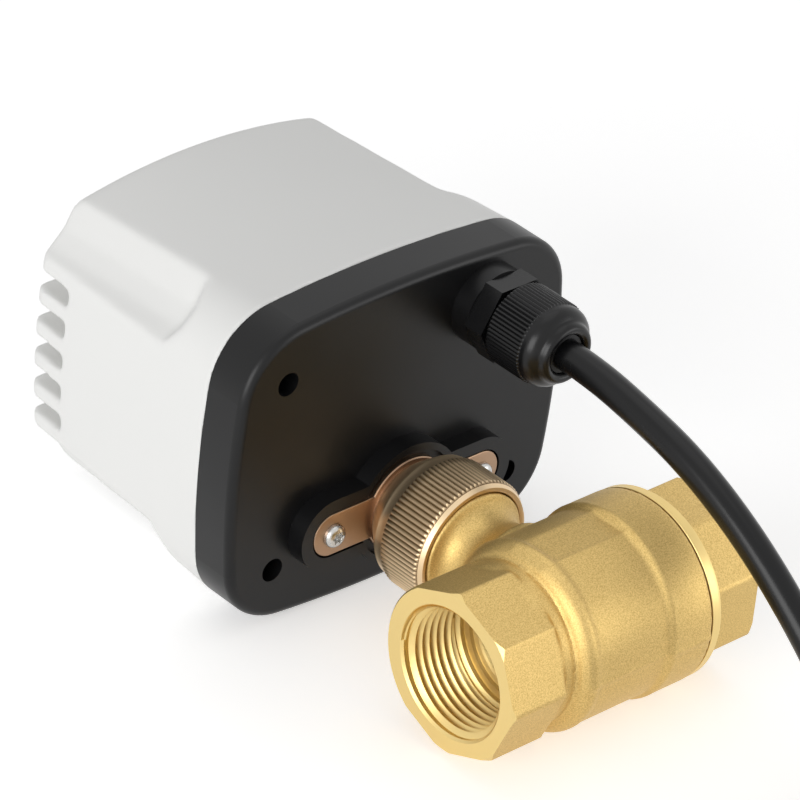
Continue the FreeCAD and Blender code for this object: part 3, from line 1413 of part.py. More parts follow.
def make_gland():
    spot = ("gland_x", "gland_y")
    hex_top = "gland_root_height + gland_hex_height"
    body = turned("gland_body", [
        ("gland_bore", "gland_body_top"),
        ("gland_thread_radius - gland_thread_bevel", "gland_body_top"),
        ("gland_thread_radius", "gland_body_top - gland_thread_bevel"),
        ("gland_thread_radius", "-gland_inner_end"),
        ("gland_bore", "-gland_inner_end"),
    ], spot)
    pad(body, hexagon(body, "gland_hex", "gland_flats", spot, "gland_root_height"), "gland_hex_height")
    bore = circles(body, "gland_body_bore", "XY_Plane", [(*spot, "gland_bore")], ("0", "0", hex_top))
    pocket(body, bore, "gland_hex_height + overlap")
    node(body, "gland_body")

    nut = turned("gland_nut", [
        ("gland_thread_radius + gland_fit", "gland_nut_start"),
        ("gland_nut_radius - gland_nut_bevel", "gland_nut_start"),
        ("gland_nut_radius", "gland_nut_start + gland_nut_bevel"),
        ("gland_nut_radius", "gland_nut_shoulder - gland_nut_bevel"),
        ("gland_nut_radius - gland_nut_bevel", "gland_nut_shoulder"),
        ("gland_dome_radius", "gland_nut_shoulder"),
        ("gland_dome_radius - gland_dome_lean", "gland_nut_shoulder + gland_dome_rise"),
        ("gland_dome_radius - gland_dome_turn", "gland_nut_shoulder + gland_dome_top"),
        ("gland_mouth_rim", "gland_mouth"),
        ("gland_mouth_radius + gland_mouth_lip", "gland_mouth"),
        ("gland_mouth_radius", "gland_mouth - gland_mouth_lip"),
        ("gland_mouth_radius + gland_mouth_lip", "gland_mouth - gland_mouth_depth"),
        ("gland_thread_radius + gland_fit", "gland_body_top + gland_thread_run"),
    ], spot)
    node(nut, "gland_nut")

    seal = turned("gland_seal", [
        ("cable_radius + cable_fit", "gland_body_top - seal_reach"),
        ("gland_bore - gland_fit", "gland_body_top - seal_reach"),
        ("gland_bore - gland_fit", "gland_body_top + overlap"),
        ("gland_thread_radius - seal_collar", "gland_body_top + overlap"),
        ("gland_thread_radius - seal_collar", "gland_body_top + seal_collar_height"),
        ("gland_mouth_radius - gland_fit", "gland_mouth - seal_shoulder"),
        ("gland_mouth_radius - gland_fit", "cable_start"),
        ("cable_radius + cable_fit", "cable_start"),
    ], spot)
    node(seal, "gland_seal")

    locknut = new_body("gland_locknut")
    flats = hexagon(locknut, "locknut_hex", "locknut_flats", spot, "-base_floor", 30)
    pad(locknut, flats, "locknut_height", down=True)
    hole = circles(locknut, "locknut_hole", "XY_Plane", [(*spot, "gland_thread_radius + screw_fit")],
                   ("0", "0", "-base_floor + skin"))
    pocket(locknut, hole, "locknut_height + overlap")
    node(locknut, "gland_locknut")

    tail = cylinder("cable_tail_rod", "cable_radius", "cable_start + tail_end", *spot, "-tail_end")
    node(group("cable_tail_node", [tail]), "cable_tail")


def bent_wire(points, label):
    """Straight runs joined by tangent arcs, as large as the two runs beside each allow."""
    edges, radii = [], []
    start = points[0]
    for before, corner, after in zip(points, points[1:], points[2:]):
        inward, outward = corner - before, after - corner
        shorter = min(inward.Length, outward.Length)
        turn = inward.getAngle(outward)
        tangent = 0.45 * shorter
        radii.append(tangent / math.tan(turn / 2))
        first = corner - inward * (tangent / inward.Length)
        last = corner + outward * (tangent / outward.Length)
        middle = arc_middle(first, corner, last)
        edges.append(Part.LineSegment(start, first).toShape())
        edges.append(Part.Arc(first, middle, last).toShape())
        start = last
    edges.append(Part.LineSegment(start, points[-1]).toShape())
    print(f"{label}: bend radii", " ".join(f"{radius:.1f}" for radius in radii))
    return Part.Wire(edges)


def arc_middle(first, corner, last):
    """The middle of the arc that touches two equal tangents meeting at a corner."""
    chord = (first + last) * 0.5
    half = (corner - first).getAngle(last - corner) / 2
    return chord + (corner - chord) * (math.cos(half) / (1 + math.cos(half)))


def biarc(start, start_way, end, end_way):
    """Two arcs that join two points with given directions."""
    across = end - start
    both = start_way + end_way
    closing = 2 * (1 - start_way.dot(end_way))
    lead = across.dot(both)
    reach = (math.sqrt(lead ** 2 + closing * across.dot(across)) - lead) / closing
    first_corner, last_corner = start + start_way * reach, end - end_way * reach
    joint = (first_corner + last_corner) * 0.5
    return [
        Part.Arc(start, arc_middle(start, first_corner, joint), joint).toShape(),
        Part.Arc(joint, arc_middle(joint, last_corner, end), end).toShape(),
    ]


def tube(wire, radius):
    """A round tube along a wire, with its volume compared to section times length."""
    start = wire.Edges[0]
    first = start.valueAt(start.FirstParameter)
    way = start.tangentAt(start.FirstParameter)
    ring = Part.Wire(Part.makeCircle(radius, first, way))
    shell = Part.BRepOffsetAPI.MakePipeShell(wire)
    shell.add(ring)
    shell.build()
    shell.makeSolid()
    solid = shell.shape()
    share = solid.Volume / (math.pi * radius ** 2 * wire.Length)
    print(f"tube: length {wire.Length:.1f}, volume over section times length {share:.4f}")
    return solid


def plain_feature(name, shape):
    item = doc.addObject("Part::Feature", name)
    item.Shape = shape
    return item


# The free stretch of the cable, from the gland to the coil, point by point.
CABLE_ROUTE = [
    (19.4, 37.4, 23.0),
    (19.4, 37.4, 31.0),
    (19.4, 35.2, 44.0),
    (19.4, 32.2, 57.0),
    (19.4, 27.2, 69.0),
    (19.4, 20.9, 80.0),
    (19.4, 13.2, 90.5),
    (19.4, 4.9, 100.0),
    (19.4, -2.6, 109.5),
    (19.4, -7.2, 119.3),
    (19.4, -9.25, 129.5),
    (19.4, -9.25, 146.0),
]


def coil_point(turn):
    """A point of the coil's centre line and its direction, for a count of turns from its start."""
    radius_start, pitch = value("coil_radius"), value("coil_pitch")
    turns = value("coil_turns")
    rise, thick = value("layer_rise"), value("cable_radius")
    floor = -value(REST)
    centre_x = CABLE_ROUTE[-1][0] - radius_start
    centre_z = CABLE_ROUTE[-1][2] + 2 * thick

    def spot(t):
        angle = 2 * math.pi * t
        if t <= turns:
            radius, height = radius_start - pitch * t, rise
        elif t <= turns + 0.5:
            back = t - turns
            radius = radius_start - pitch * turns - pitch * back + 2 * pitch * back ** 2
            height = rise * (1 + math.cos(2 * math.pi * back)) / 2
        else:
            radius, height = radius_start - pitch * (2 * turns + 0.5 - t), 0.0
        return Vector(centre_x + radius * math.cos(angle), floor + thick + height,
                      centre_z + radius * math.sin(angle))

    step = 1e-5
    way = spot(turn + step) - spot(turn - step)
    return spot(turn), way / way.Length


def make_cable():
    radius = value("cable_radius")
    route = [Vector(*point) for point in CABLE_ROUTE]
    node(plain_feature("cable_tube", tube(bent_wire(route, "cable"), radius)), "cable")

    total = 2 * value("coil_turns") + 0.5
    steps = int(round(total * 4))
    edges = []
    start = route[-1]
    point, way = coil_point(0.0)
    way = Vector(0, 0, 1)
    edges.append(Part.LineSegment(start, point).toShape())
    for count in range(1, steps + 1):
        following, next_way = coil_point(total * count / steps)
        if count == steps:
            next_way = Vector(0, 0, -1)
        edges.extend(biarc(point, way, following, next_way))
        point, way = following, next_way
    end = point + way * (2 * radius)
    edges.append(Part.LineSegment(point, end).toShape())
    wire = Part.Wire(edges)
    print(f"coil: least gap to itself {least_gap(wire, 2 * radius):.2f}")
    node(plain_feature("cable_coil_tube", tube(wire, radius)), "cable_coil")
    return end, way


def least_gap(wire, diameter):
    """The least gap between turns, measured on points along the wire that are not neighbours."""
    points = wire.discretize(Distance=2.0)
    apart = int(diameter * 2)
    least = 1e9
    for i, first in enumerate(points):
        for second in points[i + apart:]:
            least = min(least, first.distanceToPoint(second))
    return least - diameter


def make_cores(end, way):
    """The three cores past the jacket's end, fanned out on the floor, with bare wire ends."""
    radius = value("core_radius")
    floor = -value(REST)
    lowest = floor + radius
    middle = end.y
    fans = (
        ("core_brown", 0.0, 1.55, [(0.2, 9.0), (0.6, 20.0), (0.4, 31.0), (1.5, 41.0)]),
        ("core_blue", -1.45, -0.85, [(-2.2, 9.0), (-5.0, 19.5), (-8.6, 29.0), (-13.0, 38.0)]),
        ("core_earth", 1.45, -0.85, [(2.9, 9.0), (5.9, 20.0), (9.2, 30.5), (12.2, 41.0)]),
    )
    ends = []
    for label, aside, above, steps in fans:
        start = Vector(end.x + aside, middle + above, end.z)
        points = [start, start + way * 4.0]
        for index, (sideways, along) in enumerate(steps):
            share = min(1.0, (index + 1) / 2)
            height = start.y + (lowest - start.y) * share + (0.12 if index == 2 else 0.0)
            points.append(Vector(end.x + sideways, height, end.z + way.z * along))
        node(plain_feature(label + "_tube", tube(bent_wire(points, label), radius)), label)
        last_way = points[-1] - points[-2]
        last_way = last_way / last_way.Length
        ends.append(Part.makeCylinder(value("core_wire_radius"), value("core_wire_length"), points[-1], last_way))
    node(plain_feature("core_wires", Part.Compound(ends)), "core_ends")


def make_inner_leads():
    """Three thin leads from the cable's inner end to the terminal block."""
    radius, pitch = value("lead_radius"), value("lead_pitch")
    leads = []
    for side in (-1, 0, 1):
        x = value("gland_x") + side * 1.9
        goal_x = value("terminal_x") + side * pitch
        y = value("gland_y") + (1.0 if side == 0 else -0.6)
        height = -value("board_place + board_thickness + terminal_height / 2")
        goal_y = value("board_high")
        points = [
            Vector(x, y, -value("tail_end")),
            Vector(x, y, -value("plate_place") - 3),
            Vector(x + (goal_x - x) * 0.2, y - 5, -value("board_place")),
            Vector(x + (goal_x - x) * 0.7, y - 14, height - 1.5),
            Vector(goal_x, goal_y + 10, height),
            Vector(goal_x, goal_y, height),
        ]
        leads.append(tube(bent_wire(points, "lead"), radius))
    node(plain_feature("leads", Part.Compound(leads)), "inner_leads")


make_valve_body()
make_end_cap()
make_ball()
make_seat("seat_inlet", "-seat_back")
make_seat("seat_outlet", "seat_front")
make_stem()
make_union_nut()
make_mounting_flange()
make_base()
make_cover()
make_gasket()
make_cover_screws()
make_gears()
make_drive_shaft()
make_gear_plate()
make_motor()
make_cam()
make_switch("switch_closed", "plunger_closed", 0)
make_switch("switch_open", "plunger_open", 90)
make_board()
make_gland()
cord_end, cord_way = make_cable()
make_cores(cord_end, cord_way)
make_inner_leads()

doc.recompute()
for item in doc.Objects:
    if "Invalid" in item.State or "Error" in item.State:
        raise RuntimeError(f"{item.Name} failed: {item.State}")
for item in NODES:
    if item.Shape.isNull() or not item.Shape.isValid():
        raise RuntimeError(f"{item.Label} has no valid shape")

os.makedirs("parts", exist_ok=True)
for item in NODES:
    item.Shape.exportStep(f"parts/{item.Label}.step")
print(f"{len(NODES)} parts")
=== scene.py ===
# %% [markdown]
# Electric ball valve, dressed for a studio picture.
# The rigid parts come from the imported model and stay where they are. This lesson gives them their
# finishes, and models anew what needs more than the construction holds: the cable, the knurled nut,
# the threads in the ports and the small marks that moulding and machining leave.

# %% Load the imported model
import math

import bmesh
import bpy
from mathutils import Matrix, Quaternion, Vector


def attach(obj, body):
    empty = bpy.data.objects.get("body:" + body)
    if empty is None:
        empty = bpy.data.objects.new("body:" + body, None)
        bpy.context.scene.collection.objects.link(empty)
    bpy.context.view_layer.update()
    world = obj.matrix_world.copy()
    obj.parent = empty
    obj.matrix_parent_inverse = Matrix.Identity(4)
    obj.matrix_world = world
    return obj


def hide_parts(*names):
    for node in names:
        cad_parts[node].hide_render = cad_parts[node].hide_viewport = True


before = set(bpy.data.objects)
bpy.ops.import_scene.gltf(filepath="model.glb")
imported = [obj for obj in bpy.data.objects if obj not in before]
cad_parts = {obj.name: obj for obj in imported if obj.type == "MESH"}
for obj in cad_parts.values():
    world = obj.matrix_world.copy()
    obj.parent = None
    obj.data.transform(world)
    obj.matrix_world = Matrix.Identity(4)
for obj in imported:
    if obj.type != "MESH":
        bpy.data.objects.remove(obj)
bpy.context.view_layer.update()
scene = bpy.context.scene

# %% [markdown]
# The valve is easiest to describe on a bench: u runs along the pipe, v points up, and n runs from
# the actuator's face towards the pipe. One matrix turns bench millimetres into the metres of the
# frame, where the valve lies on the floor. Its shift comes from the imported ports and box.

# %% Bench frame
MM = 0.001
BOX_HALF_HEIGHT, BOX_CENTRE = 34.3, 15.0
PIPE_HEIGHT, RING_RADIUS, BOX_DEPTH = 51.4, 19.3, 65.5
REST = BOX_HALF_HEIGHT - BOX_CENTRE
SHIFT = (PIPE_HEIGHT + RING_RADIUS - BOX_DEPTH) / 2
BENCH = Matrix(((MM, 0, 0, 0), (0, 0, -MM, SHIFT * MM), (0, MM, 0, REST * MM), (0, 0, 0, 1)))


def at(u, v, n):
    """A bench point in millimetres, as a point of the frame in metres."""
    return BENCH @ Vector((u, v, n))


print("the pipe's axis lies at", tuple(round(c, 4) for c in at(0, 0, PIPE_HEIGHT)))

# %% [markdown]
# The photograph was taken with a long lens from the upper left. Its angle was worked out from the
# round edges of the port, the nut and the plate, which show as ellipses. A heading, a tilt and a
# small roll aim the camera, and the lens sets how large the valve stands in the square picture.

# %% Camera
CAMERA_PLACE = at(-623.6, 578.5, 626.5)
HEADING, TILT, ROLL = math.radians(44.83), math.radians(32.21), math.radians(5.77)
LENS, SENSOR = 244.1, 36

aim = Vector((math.sin(HEADING) * math.cos(TILT), math.cos(HEADING) * math.cos(TILT), -math.sin(TILT)))
camera_data = bpy.data.cameras.new("camera")
camera_data.lens = LENS
camera_data.sensor_width = SENSOR
camera_data.clip_start = 0.1
camera = bpy.data.objects.new("camera", camera_data)
camera.rotation_mode = "QUATERNION"
camera.rotation_quaternion = aim.to_track_quat("-Z", "Y") @ Quaternion((0, 0, 1), ROLL)
camera.location = CAMERA_PLACE
scene.collection.objects.link(camera)
scene.camera = camera
print("camera at", tuple(round(c, 3) for c in camera.location))

# %% [markdown]
# The cable is a round black jacket of 6.4 mm, stiff enough to hold a wide arc. It leaves the gland
# straight, passes over the barrel and goes down to the floor. The length that the picture doesn't
# show lies just below the picture as a neat coil of two layers. The route's own points come first,
# and a function gives the control points of the turns.

# %% Cable route
CABLE_RADIUS = 3.2
CABLE_ROUTE = [
    (19.4, 37.4, 23.0),
    (19.4, 37.4, 31.0),
    (19.4, 35.2, 44.0),
    (19.4, 32.2, 57.0),
    (19.4, 27.2, 69.0),
    (19.4, 20.9, 80.0),
    (19.4, 13.2, 90.5),
    (19.4, 4.9, 100.0),
    (19.4, -2.6, 109.5),
    (19.4, -7.2, 119.3),
    (19.4, -9.25, 129.5),
    (19.4, -9.25, 146.0),
]
COIL_RADIUS, COIL_PITCH, COIL_TURNS = 39.5, 7.3, 2
LAYER_RISE = 6.85
POINTS_PER_TURN = 16
LAYER_CHANGE = 0.5
COIL_ALL_TURNS = 2 * COIL_TURNS + LAYER_CHANGE


def coil_point(turn):
    """A control point of the coil, for a count of turns from its start."""
    if turn <= COIL_TURNS:
        radius, height = COIL_RADIUS - COIL_PITCH * turn, LAYER_RISE
    elif turn <= COIL_TURNS + LAYER_CHANGE:
        back = turn - COIL_TURNS
        radius = COIL_RADIUS - COIL_PITCH * (COIL_TURNS + back - 2 * back ** 2)
        height = LAYER_RISE * (1 + math.cos(2 * math.pi * back)) / 2
    else:
        radius, height = COIL_RADIUS - COIL_PITCH * (COIL_ALL_TURNS - turn), 0.0
    angle = 2 * math.pi * turn
    centre_u = CABLE_ROUTE[-1][0] - COIL_RADIUS
    centre_n = CABLE_ROUTE[-1][2] + 2 * CABLE_RADIUS
    return (centre_u + radius * math.cos(angle), -REST + CABLE_RADIUS + height,
            centre_n + radius * math.sin(angle))


# %% [markdown]
# One smooth spline carries the whole cable. Each of its points carries the cord's radius and the
# bevel is 1, because Blender counts the points' radii when it works out the curve's box.

# %% Cable


def cord(name, points, radius, body="housing"):
    """A round cord on one smooth spline."""
    curve = bpy.data.curves.new(name, "CURVE")
    curve.dimensions = "3D"
    spline = curve.splines.new("NURBS")
    spline.points.add(len(points) - 1)
    for point, place in zip(spline.points, points):
        point.co = (*at(*place), 1)
        point.radius = radius * MM
    spline.order_u = 3
    spline.use_endpoint_u = True
    spline.resolution_u = 8
    curve.bevel_depth = 1.0
    curve.bevel_resolution = 6
    curve.use_fill_caps = True
    piece = bpy.data.objects.new(name, curve)
    scene.collection.objects.link(piece)
    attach(piece, body)
    return piece


coil_count = int(COIL_ALL_TURNS * POINTS_PER_TURN)
coil_points = [coil_point(COIL_ALL_TURNS * step / coil_count) for step in range(1, coil_count)]
last_u = CABLE_ROUTE[-1][0] - 2 * COIL_RADIUS
last_n = CABLE_ROUTE[-1][2] + 2 * CABLE_RADIUS
floor_v = -REST + CABLE_RADIUS
tail = [(last_u, floor_v, last_n + 2), (last_u, floor_v, last_n - 2 * CABLE_RADIUS)]
cable = cord("cable_jacket", CABLE_ROUTE + coil_points + tail, CABLE_RADIUS)
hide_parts("cable", "cable_coil")
print("control points of the coil:", len(coil_points))

# %% [markdown]
# Where the jacket ends, three insulated cores come out and fan over the floor. Each is a thin cord
# of its own, with its bare wire showing at the tip.

# %% Cores
CORE_RADIUS = 1.3
END_U, END_N = last_u, last_n - 2 * CABLE_RADIUS
CORE_LOW = -REST + CORE_RADIUS
CORE_FANS = {
    "core_brown": (0.0, 1.55, [(0.2, 9.0), (0.6, 20.0), (0.4, 31.0), (1.5, 41.0)]),
    "core_blue": (-1.45, -0.85, [(-2.2, 9.0), (-5.0, 19.5), (-8.6, 29.0), (-13.0, 38.0)]),
    "core_earth": (1.45, -0.85, [(2.9, 9.0), (5.9, 20.0), (9.2, 30.5), (12.2, 41.0)]),
}
for name, (aside, above, steps) in CORE_FANS.items():
    start_v = floor_v + above
    points = [(END_U + aside, start_v, END_N), (END_U + aside, start_v, END_N - 4.0)]
    for index, (sideways, along) in enumerate(steps):
        share = min(1.0, (index + 1) / 2)
        lift = 0.12 if index == 2 else 0.0
        points.append((END_U + sideways, start_v + (CORE_LOW - start_v) * share + lift, END_N - along))
    cord(name + "_sleeve", points, CORE_RADIUS)
    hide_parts(name)

print("cable points:", len(cable.data.splines[0].points))

# %% [markdown]
# A finish starts from a colour as a picture editor gives it, a hex value in sRGB. Blender mixes
# light in linear values, so one function turns one into the other. A second small function adds a
# node with its settings and links, and every material below is built with it.

# %% Colour and node helpers


def linear(code):
    """An sRGB hex value as linear RGBA."""
    parts = [int(code[i:i + 2], 16) / 255 for i in (1, 3, 5)]
    return [p / 12.92 if p <= 0.04045 else ((p + 0.055) / 1.055) ** 2.4 for p in parts] + [1.0]


def add(tree, kind, settings=None, values=None, links=None):
    """A shader node with its settings, its own values and its links."""
    item = tree.nodes.new(kind)
    for key, setting in (settings or {}).items():
        setattr(item, key, setting)
    for key, number in (values or {}).items():
        item.inputs[key].default_value = number
    for key, source in (links or {}).items():
        tree.links.new(source, item.inputs[key])
    return item


def start_material(name, colour, roughness, metallic=0.0):
    """A named material with its shader, and coordinates in millimetres of the bench's size."""
    material = bpy.data.materials.new(name)
    material.use_nodes = True
    tree = material.node_tree
    shader = tree.nodes["Principled BSDF"]
    shader.inputs["Base Color"].default_value = linear(colour)
    shader.inputs["Roughness"].default_value = roughness
    shader.inputs["Metallic"].default_value = metallic
    place = add(tree, "ShaderNodeTexCoord").outputs["Object"]
    return material, tree, shader, place


def dress(names, material):
    """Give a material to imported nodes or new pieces."""
    for name in names:
        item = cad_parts.get(name) or bpy.data.objects[name]
        item.data.materials.clear()
        item.data.materials.append(material)


# %% [markdown]
# Moulded plastic: the mould was spark-eroded, so the skin has a fine even grain that spreads the
# light. Grain is a noise of a few tenths of a millimetre behind a bump node, and a slower noise
# makes the gloss wander a little, as it does where the melt cooled at different speeds.

# %% Plastics
GLOSS_PATCH_MM = 14


def moulded(name, colour, roughness, grain_mm=0.35, depth_mm=0.012, wander=0.05, shine=0.5):
    """A moulded plastic with a fine grain and a gloss that wanders."""
    material, tree, shader, place = start_material(name, colour, roughness)
    shader.inputs["Specular IOR Level"].default_value = shine
    grain = add(tree, "ShaderNodeTexNoise", values={"Scale": 1 / (grain_mm * MM), "Detail": 2.0},
                links={"Vector": place})
    bump = add(tree, "ShaderNodeBump", values={"Distance": depth_mm * MM, "Strength": 0.5},
               links={"Height": grain.outputs["Fac"]})
    tree.links.new(bump.outputs["Normal"], shader.inputs["Normal"])
    slow = add(tree, "ShaderNodeTexNoise", values={"Scale": 1 / (GLOSS_PATCH_MM * MM), "Detail": 1.0},
               links={"Vector": place})
    gloss = add(tree, "ShaderNodeMapRange",
                values={"To Min": roughness - wander, "To Max": roughness + wander},
                links={"Value": slow.outputs["Fac"]})
    tree.links.new(gloss.outputs["Result"], shader.inputs["Roughness"])
    return material


white_abs = moulded("white_moulded_abs", "#ECECEA", 0.46)
black_abs = moulded("black_moulded_abs", "#0E0E0F", 0.36, depth_mm=0.008, shine=0.3)
black_nylon = moulded("black_moulded_nylon", "#0B0B0C", 0.28, depth_mm=0.006, shine=0.32)
jacket = moulded("black_soft_jacket", "#0B0B0C", 0.28, grain_mm=0.5, depth_mm=0.01, shine=0.3)
seal_rubber = moulded("black_seal_rubber", "#101011", 0.6)
gear_acetal = moulded("white_acetal", "#E3E1D6", 0.4)
switch_plastic = moulded("black_switch_plastic", "#1B1B1D", 0.45)
button_red = moulded("red_button_plastic", "#9A1F18", 0.4)
board_resin = moulded("green_board_resin", "#1E6B39", 0.35)
terminal_plastic = moulded("green_terminal_plastic", "#2E8A49", 0.4)
relay_plastic = moulded("blue_relay_plastic", "#1D4C99", 0.3)
sleeve_film = moulded("dark_capacitor_film", "#16161E", 0.25)
ptfe = moulded("white_turned_ptfe", "#EDEDE8", 0.45)
brown_sleeve = moulded("brown_core_sleeve", "#6B3F22", 0.38)
blue_sleeve = moulded("blue_core_sleeve", "#2458A6", 0.38)
earth_sleeve = moulded("yellow_green_core_sleeve", "#A8B52A", 0.38)
lead_sleeve = moulded("grey_lead_sleeve", "#6A6A6C", 0.4)
print("plastics:", len(bpy.data.materials))

# %% [markdown]
# Cast brass is sand-blasted: the grit leaves dents of a few tenths of a millimetre that sparkle
# when the light rakes over them. A strong fine bump gives the dents, and the same noise tints the
# metal, because the dents hold a little oxide. Machined brass is left bright by the tool, and only
# its gloss is a little uneven.

# %% Metals


def blasted(name, light, dark, roughness, grit_mm=0.26, depth_mm=0.035):
    """A sand-blasted metal whose dents are darker than its grain."""
    material, tree, shader, place = start_material(name, light, roughness, 1.0)
    grit = add(tree, "ShaderNodeTexNoise",
               values={"Scale": 1 / (grit_mm * MM), "Detail": 3.0, "Roughness": 0.6}, links={"Vector": place})
    bump = add(tree, "ShaderNodeBump", values={"Distance": depth_mm * MM, "Strength": 0.7},
               links={"Height": grit.outputs["Fac"]})
    tree.links.new(bump.outputs["Normal"], shader.inputs["Normal"])
    ramp = add(tree, "ShaderNodeMapRange", values={"From Min": 0.35, "From Max": 0.62},
               links={"Value": grit.outputs["Fac"]})
    tint = add(tree, "ShaderNodeMix", {"data_type": "RGBA"}, {"A": linear(dark), "B": linear(light)},
               {"Factor": ramp.outputs["Result"]})
    tree.links.new(tint.outputs["Result"], shader.inputs["Base Color"])
    return material


def turned_metal(name, colour, roughness):
    """A smooth metal with a slightly uneven gloss."""
    material, tree, shader, place = start_material(name, colour, roughness, 1.0)
    noise = add(tree, "ShaderNodeTexNoise", values={"Scale": 1 / (0.6 * MM), "Detail": 2.0},
                links={"Vector": place})
    gloss = add(tree, "ShaderNodeMapRange", values={"To Min": roughness - 0.06, "To Max": roughness + 0.08},
                links={"Value": noise.outputs["Fac"]})
    tree.links.new(gloss.outputs["Result"], shader.inputs["Roughness"])
    bump = add(tree, "ShaderNodeBump", values={"Distance": 0.006 * MM, "Strength": 0.4},
               links={"Height": noise.outputs["Fac"]})
    tree.links.new(bump.outputs["Normal"], shader.inputs["Normal"])
    return material


cast_brass = blasted("sand_blasted_brass", "#DFC280", "#C0A263", 0.52)
bright_brass = turned_metal("machined_brass", "#E8CD8A", 0.38)
flange_bronze = turned_metal("satin_bronze_plate", "#AC8F76", 0.4)
steel = turned_metal("plated_steel", "#C8C7C4", 0.26)
sheet_steel = turned_metal("zinc_plated_sheet", "#B9BCC0", 0.34)
chrome = turned_metal("chromed_brass", "#BDBDBB", 0.14)
tinned = turned_metal("tinned_copper", "#C9B8A2", 0.3)
winding = turned_metal("copper_winding", "#B8754A", 0.35)
print("materials so far:", len(bpy.data.materials))

# %% [markdown]
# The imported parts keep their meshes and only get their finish, each by its name. Those inside the
# box are dressed as well, because someone may take the cover off.

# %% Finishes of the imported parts
dress(["stem", "motor_pinion"], bright_brass)
dress(["cover_screws", "gear_pins", "drive_shaft", "plate_screws", "board_standoffs"], steel)
dress(["gear_plate", "motor_can", "motor_lid", "motor_rotor"], sheet_steel)
dress(["ball"], chrome)
dress(["core_ends"], tinned)
dress(["motor_coil"], winding)
dress(["seat_inlet", "seat_outlet", "thrust_washer", "body_seal"], ptfe)
dress(["stem_orings", "cover_gasket", "gland_seal"], seal_rubber)
dress(["actuator_base"], black_abs)
dress(["gland_body", "gland_locknut"], black_nylon)
dress(["cable_jacket", "cable_tail"], jacket)
dress(["core_brown_sleeve"], brown_sleeve)
dress(["core_blue_sleeve"], blue_sleeve)
dress(["core_earth_sleeve"], earth_sleeve)
dress(["inner_leads"], lead_sleeve)
dress(["output_gear", "compound_gear_a", "compound_gear_b"], gear_acetal)
dress(["cam", "switch_closed", "switch_open"], switch_plastic)
dress(["plunger_closed", "plunger_open"], button_red)
dress(["circuit_board"], board_resin)
dress(["terminal_block"], terminal_plastic)
dress(["relay"], relay_plastic)
dress(["capacitor"], sleeve_film)
print("dressed parts:", sum(1 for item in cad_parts.values() if item.data.materials))

# %% [markdown]
# Many parts of a valve come off a lathe. A few profile points are spun once round the axis, the
# seam is merged, and every face is turned outwards. A row of points can also carry a wave, which
# pulls the radius in and out round the ring: that makes the knurl, the ribs and the screw's star.

# %% Turned pieces
MERGE_DISTANCE = 0.002
STEM_AXIS = Matrix.Identity(4)
GLAND_PLACE = (19.4, 37.4)
GLAND_AXIS = Matrix.Translation((*GLAND_PLACE, 0))
PIPE_AXIS = Matrix.Translation((0, 0, PIPE_HEIGHT)) @ Matrix.Rotation(math.pi / 2, 4, "Y")


def lathe(corners, steps, wave=None):
    """Spin a closed profile of (radius, level) about the z axis, in millimetres."""
    shape = bmesh.new()
    points = [shape.verts.new((corner[0], 0, corner[1])) for corner in corners]
    edges = [shape.edges.new(pair) for pair in zip(points, points[1:] + points[:1])]
    bmesh.ops.spin(shape, geom=points + edges, cent=(0, 0, 0), axis=(0, 0, 1),
                   angle=2 * math.pi, steps=steps, use_merge=True)
    bmesh.ops.remove_doubles(shape, verts=shape.verts, dist=MERGE_DISTANCE)
    if wave:
        for point in shape.verts:
            radius = math.hypot(point.co.x, point.co.y)
            if radius > 0.01:
                grown = wave(math.atan2(point.co.y, point.co.x), radius, point.co.z) / radius
                point.co.x *= grown
                point.co.y *= grown
    bmesh.ops.recalc_face_normals(shape, faces=shape.faces)
    return shape


def as_mesh(name, shape):
    """A bmesh turned into a mesh."""
    mesh = bpy.data.meshes.new(name)
    shape.to_mesh(mesh)
    shape.free()
    return mesh


def finish_piece(name, shape, place, material=None, body="housing", crease=35):
    """Turn a form in millimetres into a piece in the frame, with its sides smooth up to an angle."""
    mesh = shape if isinstance(shape, bpy.types.Mesh) else as_mesh(name, shape)
    mesh.transform(BENCH @ place)
    mesh.shade_smooth()
    mesh.set_sharp_from_angle(angle=math.radians(crease))
    piece = bpy.data.objects.new(name, mesh)
    scene.collection.objects.link(piece)
    if material:
        mesh.materials.append(material)
    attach(piece, body)
    print(name, "faces:", len(mesh.polygons))
    return piece


# %% [markdown]
# Castings and mouldings have soft edges, which come from melting and smoothing instead. A bmesh
# becomes an object of its own for as long as a modifier works on it: the voxel remesh turns it into
# one even skin, and a few rounds of smoothing blend its edges.

# %% Melting and smoothing


def soften(shape, chosen, rounds):
    """Smooth some points of a bmesh, a number of times."""
    for _ in range(rounds):
        bmesh.ops.smooth_vert(shape, verts=chosen, factor=0.5,
                              use_axis_x=True, use_axis_y=True, use_axis_z=True)


def bare_object(name, mesh):
    """An object for a modifier to work on."""
    item = bpy.data.objects.new(name, mesh)
    scene.collection.objects.link(item)
    return item


def applied(item):
    """The item's mesh with its modifiers applied; the item itself is taken away."""
    graph = bpy.context.evaluated_depsgraph_get()
    mesh = bpy.data.meshes.new_from_object(item.evaluated_get(graph))
    bpy.data.objects.remove(item)
    return mesh


def melted(name, shape, voxel):
    """A bmesh melted into one even skin, as a new bmesh."""
    blank = bare_object(name, as_mesh(name, shape))
    remesh = blank.modifiers.new("melt", "REMESH")
    remesh.mode = "VOXEL"
    remesh.voxel_size = voxel
    skin = bmesh.new()
    skin.from_mesh(applied(blank))
    return skin


# %% [markdown]
# The cover is a thick white shell with four sunk corners and a row of scoops on each side. In the
# mould all its edges are blended, and the blends grow and shrink along the way, which no bevel of
# one width gives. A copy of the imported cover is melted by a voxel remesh, and then smoothed: one
# round all over, and four more away from the scoops. Near the base nothing is smoothed, so the
# parting line stays straight.

